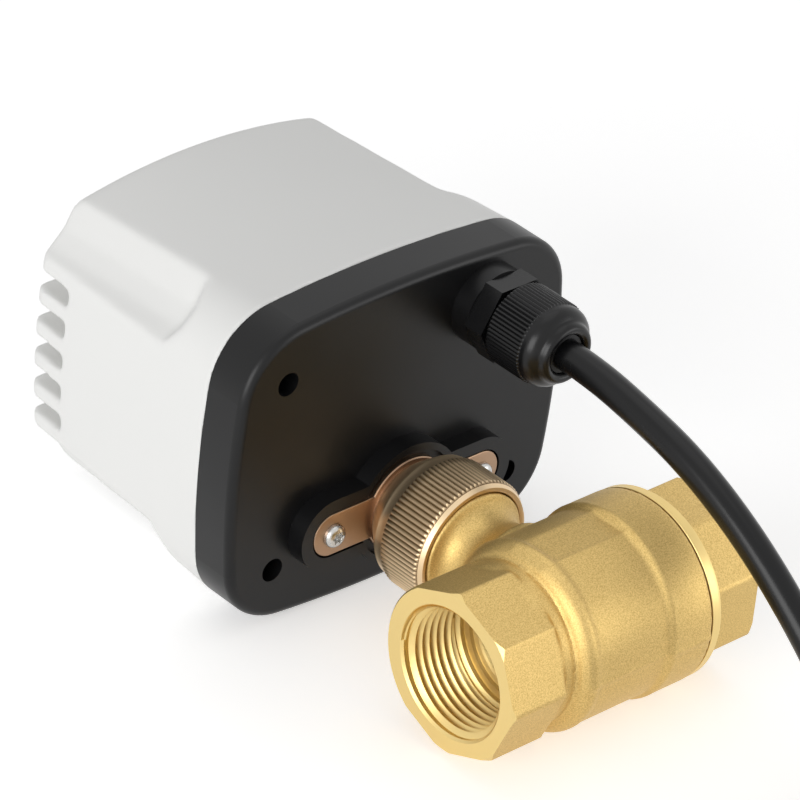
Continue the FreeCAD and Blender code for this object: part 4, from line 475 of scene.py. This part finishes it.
# %% Cover
COVER_VOXEL = 0.65
COVER_SMOOTH_FROM = -13.0
NOTCH_CENTRE, NOTCH_REACH = 15.3, 18.5

shell = bmesh.new()
shell.from_mesh(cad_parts["cover"].data)
bmesh.ops.transform(shell, matrix=BENCH.inverted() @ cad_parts["cover"].matrix_world, verts=shell.verts)
bmesh.ops.remove_doubles(shell, verts=shell.verts, dist=MERGE_DISTANCE)
shell = melted("cover_shell", shell, COVER_VOXEL)
far = [point for point in shell.verts if point.co.z < COVER_SMOOTH_FROM]
plain = [point for point in far if abs(point.co.y - NOTCH_CENTRE) > NOTCH_REACH]
soften(shell, far, 1)
soften(shell, plain, 4)
cover = finish_piece("cover_shell", shell, STEM_AXIS, white_abs, crease=50)
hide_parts("cover")

# %% [markdown]
# The union nut holds the valve to the actuator. It is turned from bronze bar, and a straight knurl
# gives the fingers their grip. Its material paints shade into the grooves: it tells them from the
# ridges by their distance from the stem's axis, and the deeper a point lies, the darker it is.

# %% Knurled bronze
NUT_BACK, NUT_RIM, NUT_BORE, SPIGOT = 5.1, 23.2, 12.25, 9.2
NUT_RADIUS, NUT_RIM_RADIUS, NUT_BACK_RADIUS, NUT_BAND = 14.2, 13.25, 10.0, 13.5
KNURL_COUNT, KNURL_DEPTH, KNURL_SHARPNESS = 84, 0.4, 1.3
BAND_START = 9.6
KNURL_START, KNURL_END, BACK_SLOPE = 12.2, 21.7, 1.6
NUT_LIP = 10.5


def knurled_bronze(name, ridge, groove_shade, roughness):
    """Turned bronze with painted shade in its grooves, which are found by their distance from the stem's
    axis.
    """
    material, tree, shader, place = start_material(name, ridge, roughness, 1.0)
    centred = add(tree, "ShaderNodeMapping", values={"Location": (0, 0, -REST * MM)}, links={"Vector": place})
    flat = add(tree, "ShaderNodeVectorMath", {"operation": "MULTIPLY"}, {1: (1, 0, 1)},
               {0: centred.outputs["Vector"]})
    radius = add(tree, "ShaderNodeVectorMath", {"operation": "LENGTH"}, links={0: flat.outputs["Vector"]})
    height = add(tree, "ShaderNodeMapRange",
                 values={"From Min": (NUT_RADIUS - KNURL_DEPTH) * MM, "From Max": (NUT_RADIUS - 0.1) * MM},
                 links={"Value": radius.outputs["Value"]})
    smooth_part = add(tree, "ShaderNodeMath", {"operation": "LESS_THAN"},
                      {1: (NUT_RADIUS - KNURL_DEPTH - 0.02) * MM}, {0: radius.outputs["Value"]})
    share = add(tree, "ShaderNodeMath", {"operation": "MAXIMUM"},
                links={0: height.outputs["Result"], 1: smooth_part.outputs["Value"]})
    # Painted shade: the knurl's grooves take the darker colour, and deeper points are darker.
    tint = add(tree, "ShaderNodeMix", {"data_type": "RGBA"}, {"A": linear(groove_shade), "B": linear(ridge)},
               {"Factor": share.outputs["Value"]})
    tree.links.new(tint.outputs["Result"], shader.inputs["Base Color"])
    burr = add(tree, "ShaderNodeTexNoise", values={"Scale": 1 / (0.5 * MM), "Detail": 2.0},
               links={"Vector": place})
    bump = add(tree, "ShaderNodeBump", values={"Distance": 0.012 * MM, "Strength": 0.5},
               links={"Height": burr.outputs["Fac"]})
    tree.links.new(bump.outputs["Normal"], shader.inputs["Normal"])
    return material


# The second colour is the painted shade in the knurl's grooves.
bronze = knurled_bronze("knurled_bronze", "#E6CCA6", "#755E42", 0.4)
print("ridges of the knurl:", KNURL_COUNT)

# %% [markdown]
# On the real nut the knurl is cut first and the chamfers after it, so the ridges run out in small
# scallops on the polished rim. Here the wave is limited by the chamfers' own cones.

# %% Union nut


def knurl(angle, radius, level):
    """The nut's radius on a ridge or in a groove, cut off by the front and back chamfers."""
    if radius < NUT_RADIUS - 0.01:
        return radius
    ridge = NUT_RADIUS - KNURL_DEPTH * (0.5 - 0.5 * math.cos(KNURL_COUNT * angle)) ** KNURL_SHARPNESS
    front = NUT_RADIUS - (level - KNURL_END) * (NUT_RADIUS - NUT_RIM_RADIUS) / (NUT_RIM - KNURL_END)
    back = NUT_RADIUS - (KNURL_START - level) * BACK_SLOPE
    return min(ridge, front, back)


knurl_rows = [11.85, 12.0, 12.2, 14, 16, 18, 20, 21.4, 21.6, 21.75, 21.9, 22.05, 22.2, 22.35, 22.5, 22.65]
nut_profile = [(SPIGOT, NUT_BACK), (NUT_BACK_RADIUS - 0.2, NUT_BACK), (NUT_BACK_RADIUS, NUT_BACK + 0.1),
               (NUT_BACK_RADIUS + 0.15, NUT_BACK + 0.25), (NUT_BAND - 0.2, BAND_START - 0.25),
               (NUT_BAND, BAND_START + 0.05), (NUT_BAND + 0.02, BAND_START + 0.4),
               (NUT_BAND + 0.05, KNURL_START - 0.45)]
nut_profile += [(NUT_RADIUS, row) for row in knurl_rows]
nut_profile += [(NUT_RIM_RADIUS, NUT_RIM), (NUT_RIM_RADIUS - 0.25, NUT_RIM), (NUT_BORE + 0.2, NUT_RIM),
                (NUT_BORE, NUT_RIM - 0.2), (NUT_BORE, NUT_LIP), (SPIGOT, NUT_LIP)]
nut = finish_piece("knurled_nut", lathe(nut_profile, KNURL_COUNT * 6, knurl), STEM_AXIS, bronze, "nut", 50)
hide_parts("union_nut")

# %% [markdown]
# The valve body is cast, sand-blasted and then cut to size where it must seal. It is made the same
# way here: closed blanks of the octagon, the barrel and the neck are melted into one by a voxel
# remesh, one or two rounds of smoothing give the soft casting edges and fillets, and one turned
# cutter takes out the bore and faces the port. The cutter's faces bring the bright machined brass.
# The neck's collar gets a single round, because it was turned and its edges are crisp.

# %% Casting and machining
VOXEL = 0.45
SOFTEN_ROUNDS = 1
ROUND_SIDE = 0.975
COLLAR_KEPT = 26.8
LATHE_STEPS, SMALL_STEPS = 128, 96


def octagon_bar(shape, corner, start, end, phase, round_half=0.0):
    """An eight-sided bar along the z axis, whose side round the x axis may stay round."""
    ring = bmesh.ops.create_circle(shape, cap_ends=True, segments=128, radius=corner)
    for point in ring["verts"]:
        angle = math.degrees(math.atan2(point.co.y, point.co.x))
        if abs(angle) > round_half:
            from_middle = math.radians((angle - phase) % 45 - 22.5)
            point.co *= math.cos(math.radians(22.5)) / math.cos(from_middle)
        else:
            point.co *= ROUND_SIDE
    bmesh.ops.translate(shape, verts=ring["verts"], vec=(0, 0, start))
    face = ring["verts"][0].link_faces[0]
    grown = bmesh.ops.extrude_face_region(shape, geom=[face])
    top = [item for item in grown["geom"] if isinstance(item, bmesh.types.BMVert)]
    bmesh.ops.translate(shape, verts=top, vec=(0, 0, end - start))


def cast_blank(name, shape):
    """Melt overlapping blanks into one skin with soft edges."""
    bmesh.ops.recalc_face_normals(shape, faces=shape.faces)
    skin = melted(name, shape, VOXEL)
    soften(skin, skin.verts, 1)
    soften(skin, [point for point in skin.verts if point.co.x < COLLAR_KEPT], SOFTEN_ROUNDS)
    return as_mesh(name, skin)


def combined(name, mesh, tool_mesh, operation):
    """Two closed meshes made one by an exact boolean."""
    tool = bare_object(name + "_tool", tool_mesh)
    block = bare_object(name + "_block", mesh)
    trim = block.modifiers.new("cut", "BOOLEAN")
    trim.operation = operation
    trim.solver = "EXACT"
    trim.object = tool
    result = applied(block)
    bpy.data.objects.remove(tool)
    return result


def machined(name, mesh, *cutters):
    """Cut turned shapes out of a casting; cut faces take the second material slot."""
    for material in (cast_brass, bright_brass):
        mesh.materials.append(material)
    for cutter in cutters:
        tool_mesh = as_mesh(name + "_cutter", cutter)
        for material in (cast_brass, bright_brass):
            tool_mesh.materials.append(material)
        for face in tool_mesh.polygons:
            face.material_index = 1
        mesh = combined(name, mesh, tool_mesh, "DIFFERENCE")
    return mesh


def stem_to_pipe(shape, corners):
    """Add a blank that is turned about the stem, to a shape drawn about the pipe."""
    neck = lathe(corners, SMALL_STEPS)
    bmesh.ops.transform(neck, matrix=PIPE_AXIS.inverted(), verts=neck.verts)
    mesh = as_mesh("neck", neck)
    shape.from_mesh(mesh)
    bpy.data.meshes.remove(mesh)


# %% [markdown]
# The body carries the near port, the barrel and the neck. Its barrel has one flat on top, with a
# faint bead along each edge of the flat and the mould's seam along the front, so the blank is a
# turned form whose radius depends on the angle as well. Behind the octagon the casting is drawn in
# to a groove, and the barrel starts again with a round rim.

# %% Valve body
NEAR_FACE, OCTAGON_CORNER, FACE_CORNER = -31.8, 17.75, 17.1
BARREL, SHOULDER = 18.9, 19.7
THREAD_ROOT, THREAD_CREST, MOUTH = 13.25, 12.1, 13.75
NECK_PROFILE = [(0, 13.6), (11.6, 13.6), (11.9, 13.9), (11.9, 22.8), (12.1, 22.9), (12.1, 23.3), (11.8, 23.6),
                (11.0, 24.0), (10.2, 24.7), (9.6, 25.6), (9.2, 26.8), (9.0, 28.2), (9.1, 29.6), (9.5, 31.0),
                (10.3, 32.4), (11.2, 33.6), (11.2, 38.0), (0, 38.0)]
BARREL_SHIFT = (0.4, 0.4, 0)
FLAT_MIDDLE, FLAT_HALF, SEAM_ANGLE = 89.5, 13.5, 182.0
BEAD_HEIGHT, BEAD_DEGREES = 0.2, 1.8
SEAM_HEIGHT, SEAM_DEGREES = 0.35, 2.5
BARREL_STEPS, STEM_BORE = 144, 4.05


def barrel_form(angle, radius, level):
    """The barrel's middle has one flat on top, and the mould's seam runs along its front."""
    turned = math.degrees(angle) % 360
    if radius < BARREL - 0.5:
        return radius
    aside = abs(turned - FLAT_MIDDLE)
    on_middle = radius < BARREL + 0.3
    bead = max(0.0, 1 - abs(aside - FLAT_HALF) / BEAD_DEGREES) if on_middle else 0.0
    seam = max(0.0, 1 - abs(turned - SEAM_ANGLE) / SEAM_DEGREES)
    if aside < FLAT_HALF and on_middle:
        radius *= math.cos(math.radians(FLAT_HALF)) / math.cos(math.radians(aside))
    return radius + BEAD_HEIGHT * bead + SEAM_HEIGHT * seam


blank = lathe([(0, -18.8), (16.5, -18.8), (16.5, -15.4), (16.0, -14.7), (17.5, -14.2), (18.7, -13.1),
               (19.2, -12.0), (19.2, -11.3), (BARREL, -10.3), (BARREL, 7.0), (SHOULDER + 0.1, 7.9),
               (SHOULDER, 9.2), (SHOULDER, 17.95), (0, 17.95)], BARREL_STEPS, barrel_form)
bmesh.ops.translate(blank, verts=blank.verts, vec=BARREL_SHIFT)
octagon_bar(blank, OCTAGON_CORNER + 0.1, NEAR_FACE - 3.5, -18.1, 0, round_half=45)
stem_to_pipe(blank, NECK_PROFILE)
casting = cast_blank("valve_casting", blank)
bore = lathe([(0, -38), (25, -38), (25, -23.9), (FACE_CORNER, NEAR_FACE), (MOUTH, NEAR_FACE),
              (THREAD_ROOT, -31.3), (THREAD_ROOT, -18.3), (12.5, -17.7), (12.3, -16.9), (11.1, -16.6),
              (10.9, -15.9), (9.9, -15.6), (9.6, -15.2), (9.6, -13.45), (13.25, -13.45), (13.25, -8.4),
              (15.3, -8.4), (15.3, 8.0), (15.95, 8.0), (15.95, 18), (0, 18)], LATHE_STEPS)
stem_bore = bmesh.new()
stem_to_pipe(stem_bore, [(0, 13.0), (STEM_BORE, 13.0), (STEM_BORE, 39.0), (0, 39.0)])
body_mesh = machined("valve_casting", casting, bore, stem_bore)
body_piece = finish_piece("valve_casting", body_mesh, PIPE_AXIS, crease=30)
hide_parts("valve_body")

# %% [markdown]
# The cap screws into the far end of the body and holds the ball's seats. It is cast and cut in the
# same way. One more cutter turns the ring beside the seam, which is bright on the real one because
# the two parts are faced off together.

# %% End cap
FAR_FACE = 32.3
RING_TURNED = 19.6
blank = lathe([(0, 9.0), (15.9, 9.0), (15.9, 17.0), (SHOULDER + 0.6, 17.0), (SHOULDER + 0.6, 20.8),
               (0, 20.8)], LATHE_STEPS)
bmesh.ops.translate(blank, verts=blank.verts, vec=BARREL_SHIFT)
octagon_bar(blank, OCTAGON_CORNER + 0.1, 19.4, FAR_FACE + 3.5, 22.5)
casting = cast_blank("cap_casting", blank)
bore = lathe([(0, 8.0), (13.25, 8.0), (13.25, 13.45), (9.6, 13.45), (9.6, 15.2), (9.9, 15.6), (10.9, 15.9),
              (11.1, 17.1), (12.3, 17.4), (12.5, 18.2), (THREAD_ROOT, 18.8), (THREAD_ROOT, 31.8),
              (MOUTH, FAR_FACE), (FACE_CORNER, FAR_FACE), (25, 24.4), (25, 38.5), (0, 38.5)], LATHE_STEPS)
ring_tool = lathe([(15.95, 16.0), (25, 16.0), (25, 22.0), (RING_TURNED - 0.9, 22.0),
                   (RING_TURNED - 0.6, 20.1), (RING_TURNED, 19.8), (RING_TURNED, 18.15),
                   (RING_TURNED - 0.1, 18.05), (15.95, 18.05)], LATHE_STEPS)
bmesh.ops.translate(ring_tool, verts=ring_tool.verts, vec=BARREL_SHIFT)
cap_mesh = machined("cap_casting", casting, bore, ring_tool)
cap_piece = finish_piece("cap_casting", cap_mesh, PIPE_AXIS, crease=30)
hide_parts("end_cap")

# %% [markdown]
# Both ports have a pipe thread of 14 turns to the inch. The ridge is one small section carried
# round the bore while it moves along it, which the spin operator does when it is given a step.

# %% Port threads
PITCH = 1.814
THREAD_TURNS, STEPS_PER_TURN = 7, 80
THREAD_INSET, RUN_IN, RUN_OUT = 0.55, 0.3, 1.4


def port_thread(name, start):
    """One helical ridge that rises from the wall and sinks back into it at both ends."""
    shape = bmesh.new()
    foot = THREAD_ROOT + 0.1
    section = [(foot, -0.72), (THREAD_CREST + 0.14, -0.15), (THREAD_CREST, 0), (THREAD_CREST + 0.14, 0.15),
               (foot, 0.72)]
    points = [shape.verts.new((radius, 0, start + level)) for radius, level in section]
    face = shape.faces.new(points)
    steps = THREAD_TURNS * STEPS_PER_TURN
    bmesh.ops.spin(shape, geom=[face], cent=(0, 0, 0), axis=(0, 0, 1), dvec=(0, 0, PITCH / STEPS_PER_TURN),
                   angle=2 * math.pi * THREAD_TURNS, steps=steps, use_merge=False)
    bmesh.ops.remove_doubles(shape, verts=shape.verts, dist=0.0005)
    length = PITCH * THREAD_TURNS
    for point in shape.verts:
        radius = math.hypot(point.co.x, point.co.y)
        run = point.co.z - start
        share = max(0.0, min(1.0, (run + RUN_IN) / RUN_OUT, (length - run + RUN_IN) / RUN_OUT))
        wanted = foot - (foot - radius) * share
        point.co.x *= wanted / radius
        point.co.y *= wanted / radius
    bmesh.ops.recalc_face_normals(shape, faces=shape.faces)
    piece = finish_piece(name, shape, PIPE_AXIS, bright_brass, crease=25)
    return piece


port_thread("inlet_thread", NEAR_FACE + THREAD_INSET)
port_thread("outlet_thread", FAR_FACE - THREAD_INSET - PITCH * THREAD_TURNS)

# %% [markdown]
# The gland's nut is moulded nylon. Fine ribs give it grip, and in front of them a smooth shoulder
# and a round lip close over the cable. The rubber inside grips the jacket when the nut is tight.

# %% Gland nut
RIB_COUNT, RIB_DEPTH, RIB_RADIUS, RIB_SHARPNESS = 64, 0.28, 8.8, 1.5
rib_rows = [9.9, 10.1, 13, 16, 18.3, 18.6]


def ribs(angle, radius, level):
    """The nut's radius between and on its grip ribs."""
    if abs(radius - RIB_RADIUS) > 0.01:
        return radius
    return radius - RIB_DEPTH * (0.5 - 0.5 * math.cos(RIB_COUNT * angle)) ** RIB_SHARPNESS


gland_profile = [(6.25, 9.5), (8.3, 9.5), (8.45, 9.6)] + [(RIB_RADIUS, row) for row in rib_rows]
gland_profile += [(8.5, 18.75), (8.45, 19.0), (8.5, 19.6), (8.35, 20.4), (7.95, 21.2), (7.4, 21.8),
                  (6.9, 22.15), (6.6, 22.4), (6.45, 22.8), (6.3, 23.3), (5.95, 23.75), (5.45, 24.0),
                  (4.95, 23.95), (4.5, 23.65), (4.25, 23.2), (4.2, 22.6), (4.2, 19.9), (6.25, 17.9)]
gland_shape = lathe(gland_profile, RIB_COUNT * 6, ribs)
gland = finish_piece("gland_grip_nut", gland_shape, GLAND_AXIS, black_nylon, crease=40)
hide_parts("gland_nut")

# %% [markdown]
# The plate under the nut is pressed from bronze sheet, with an ear for a screw on each side, and a
# turned spigot stands on it that holds the nut. The strap with the ears is a circle pulled apart at
# its middle and extruded. One boolean joins it to the turned part and another one drills both.

# %% Mounting plate
EAR_PLACE, EAR_RADIUS, PLATE_FACE, PLATE_THICKNESS = 19.2, 4.75, 4.0, 1.6
PLATE_DISC, SPIGOT_RADIUS, SPIGOT_BORE, SPIGOT_SHOULDER = 10.15, 9.1, 8.2, 12.0
SHOULDER_START, SHOULDER_END = 10.6, 13.1
SCREW_HOLE = 1.6


def column(shape, radius, low, high, aside=0.0, stretch=0.0):
    """A round bar between two levels, or with a stretch one that is pulled apart along x."""
    ring = bmesh.ops.create_circle(shape, cap_ends=True, segments=64, radius=radius)
    for point in ring["verts"]:
        point.co.x += aside + math.copysign(stretch, point.co.x)
    bmesh.ops.translate(shape, verts=ring["verts"], vec=(0, 0, low))
    grown = bmesh.ops.extrude_face_region(shape, geom=[ring["verts"][0].link_faces[0]])
    top = [item for item in grown["geom"] if isinstance(item, bmesh.types.BMVert)]
    bmesh.ops.translate(shape, verts=top, vec=(0, 0, high - low))
    bmesh.ops.recalc_face_normals(shape, faces=shape.faces)


PLATE_BACK = PLATE_FACE - PLATE_THICKNESS
strap = bmesh.new()
column(strap, EAR_RADIUS, PLATE_BACK, PLATE_FACE, stretch=EAR_PLACE)
rims = [edge for edge in strap.edges if all(abs(point.co.z - PLATE_FACE) < 0.01 for point in edge.verts)]
bmesh.ops.bevel(strap, geom=rims, offset=0.25, segments=3, profile=0.5, affect="EDGES", material=-1)
turned = lathe([(SPIGOT_BORE, PLATE_BACK), (PLATE_DISC, PLATE_BACK), (PLATE_DISC, PLATE_FACE - 0.2),
                (PLATE_DISC - 0.2, PLATE_FACE), (SPIGOT_RADIUS, PLATE_FACE), (SPIGOT_RADIUS, SHOULDER_START),
                (SPIGOT_SHOULDER, SHOULDER_START), (SPIGOT_SHOULDER, SHOULDER_END),
                (SPIGOT_BORE, SHOULDER_END)], SMALL_STEPS)
drills = bmesh.new()
column(drills, SPIGOT_BORE, 1.0, SHOULDER_END + 1)
column(drills, SCREW_HOLE, 1.0, SHOULDER_START, aside=EAR_PLACE)
column(drills, SCREW_HOLE, 1.0, SHOULDER_START, aside=-EAR_PLACE)
plate_mesh = combined("plate", as_mesh("strap", strap), as_mesh("spigot", turned), "UNION")
plate_mesh = combined("plate", plate_mesh, as_mesh("drills", drills), "DIFFERENCE")
mounting_plate = finish_piece("mounting_plate", plate_mesh, STEM_AXIS, flange_bronze)
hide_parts("mounting_flange")

# %% [markdown]
# The two small screws have a round pan head with a six-pointed recess. The head is turned, and the
# wave gives the recess its star.

# %% Flange screws
HEAD_RADIUS, HEAD_HEIGHT, STAR_RADIUS, STAR_DEPTH = 2.45, 1.7, 1.12, 1.1
STAR_POINTS, STAR_REACH, SCREW_STEPS = 6, 0.17, 72


def star(angle, radius, level):
    """The recess pulled in and out to six points."""
    if radius >= STAR_RADIUS + 0.1:
        return radius
    return radius * (1 + STAR_REACH * math.cos(STAR_POINTS * angle))


def screw_profile(seat):
    """Half a pan-head screw whose head stands on the seat."""
    top = seat + HEAD_HEIGHT
    bottom = top - STAR_DEPTH
    return [(0, bottom), (STAR_RADIUS - 0.1, bottom), (STAR_RADIUS, bottom + 0.1), (STAR_RADIUS, top - 0.12),
            (STAR_RADIUS + 0.09, top - 0.02), (1.6, top - 0.1), (2.0, top - 0.3), (2.3, top - 0.62),
            (HEAD_RADIUS, top - 1.05), (HEAD_RADIUS, seat + 0.1), (HEAD_RADIUS - 0.1, seat),
            (1.5, seat), (1.5, seat - 7.3), (0.8, seat - 8.0), (0, seat - 8.0)]


for side, place in (("right", EAR_PLACE), ("left", -EAR_PLACE)):
    turned = lathe(screw_profile(PLATE_FACE), SCREW_STEPS, star)
    screw_place = Matrix.Translation((place, 0, 0))
    finish_piece("flange_screw_" + side, turned, screw_place, steel, crease=40)
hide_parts("flange_screws")

# %% [markdown]
# The studio is a pale floor and a white surround. Both are brighter for the camera and for mirrored
# rays than for the light that they give: the background stays white, and the shadows keep their
# depth.

# %% Floor and surround
FLOOR_HALF, FLOOR_GLOW = 3.0, 0.46
SURROUND_LIGHT, SURROUND_SHOWN = 0.42, 1.0
floor_mesh = bpy.data.meshes.new("floor")
shape = bmesh.new()
bmesh.ops.create_grid(shape, x_segments=1, y_segments=1, size=FLOOR_HALF)
shape.to_mesh(floor_mesh)
shape.free()
floor = bpy.data.objects.new("floor", floor_mesh)
scene.collection.objects.link(floor)
print("floor:", tuple(floor.dimensions[:2]))


def shown(tree):
    """1 for the rays that show a background: the camera's own, mirrored ones and those let through."""
    rays = add(tree, "ShaderNodeLightPath").outputs
    bent = add(tree, "ShaderNodeMath", {"operation": "MAXIMUM"},
               links={0: rays["Is Glossy Ray"], 1: rays["Is Transmission Ray"]})
    return add(tree, "ShaderNodeMath", {"operation": "MAXIMUM"},
               links={0: rays["Is Camera Ray"], 1: bent.outputs["Value"]}).outputs["Value"]


floor_paint, tree, shader, _ = start_material("pale_floor", "#F4F4F4", 0.9)
shader.inputs["Specular IOR Level"].default_value = 0.1
lift = add(tree, "ShaderNodeMapRange", values={"To Min": 0.0, "To Max": FLOOR_GLOW},
           links={"Value": shown(tree)})
tree.links.new(lift.outputs["Result"], shader.inputs["Emission Strength"])
shader.inputs["Emission Color"].default_value = (1, 1, 1, 1)
floor_mesh.materials.append(floor_paint)

world = bpy.data.worlds.new("surround")
scene.world = world
world.use_nodes = True
tree = world.node_tree
tree.nodes["Background"].inputs["Color"].default_value = (1, 1, 1, 1)
level = add(tree, "ShaderNodeMapRange", values={"To Min": SURROUND_LIGHT, "To Max": SURROUND_SHOWN},
            links={"Value": shown(tree)})
tree.links.new(level.outputs["Result"], tree.nodes["Background"].inputs["Strength"])

# %% [markdown]
# Three large square lamps face the valve, and their size makes the shadows soft. The brightest comes
# from the left, where the white housing is lightest in the photograph.

# %% Lamps
LAMP_SIZE, LAMP_TARGET = 1.2, (0, 0, 0.04)


def lamp(name, place, power):
    """A square soft lamp that faces the valve."""
    data = bpy.data.lights.new(name, "AREA")
    data.size = LAMP_SIZE
    data.energy = power
    item = bpy.data.objects.new(name, data)
    item.location = place
    item.rotation_mode = "QUATERNION"
    item.rotation_quaternion = (Vector(LAMP_TARGET) - Vector(place)).to_track_quat("-Z", "Y")
    scene.collection.objects.link(item)


lamp("left_key", (-1.7, -0.5, 0.5), 20)
lamp("top_fill", (0.2, 0.2, 1.6), 2)
lamp("front_fill", (1.1, -1.5, 0.28), 9)

scene.view_settings.view_transform = "Standard"
print("lamps:", len(bpy.data.lights))
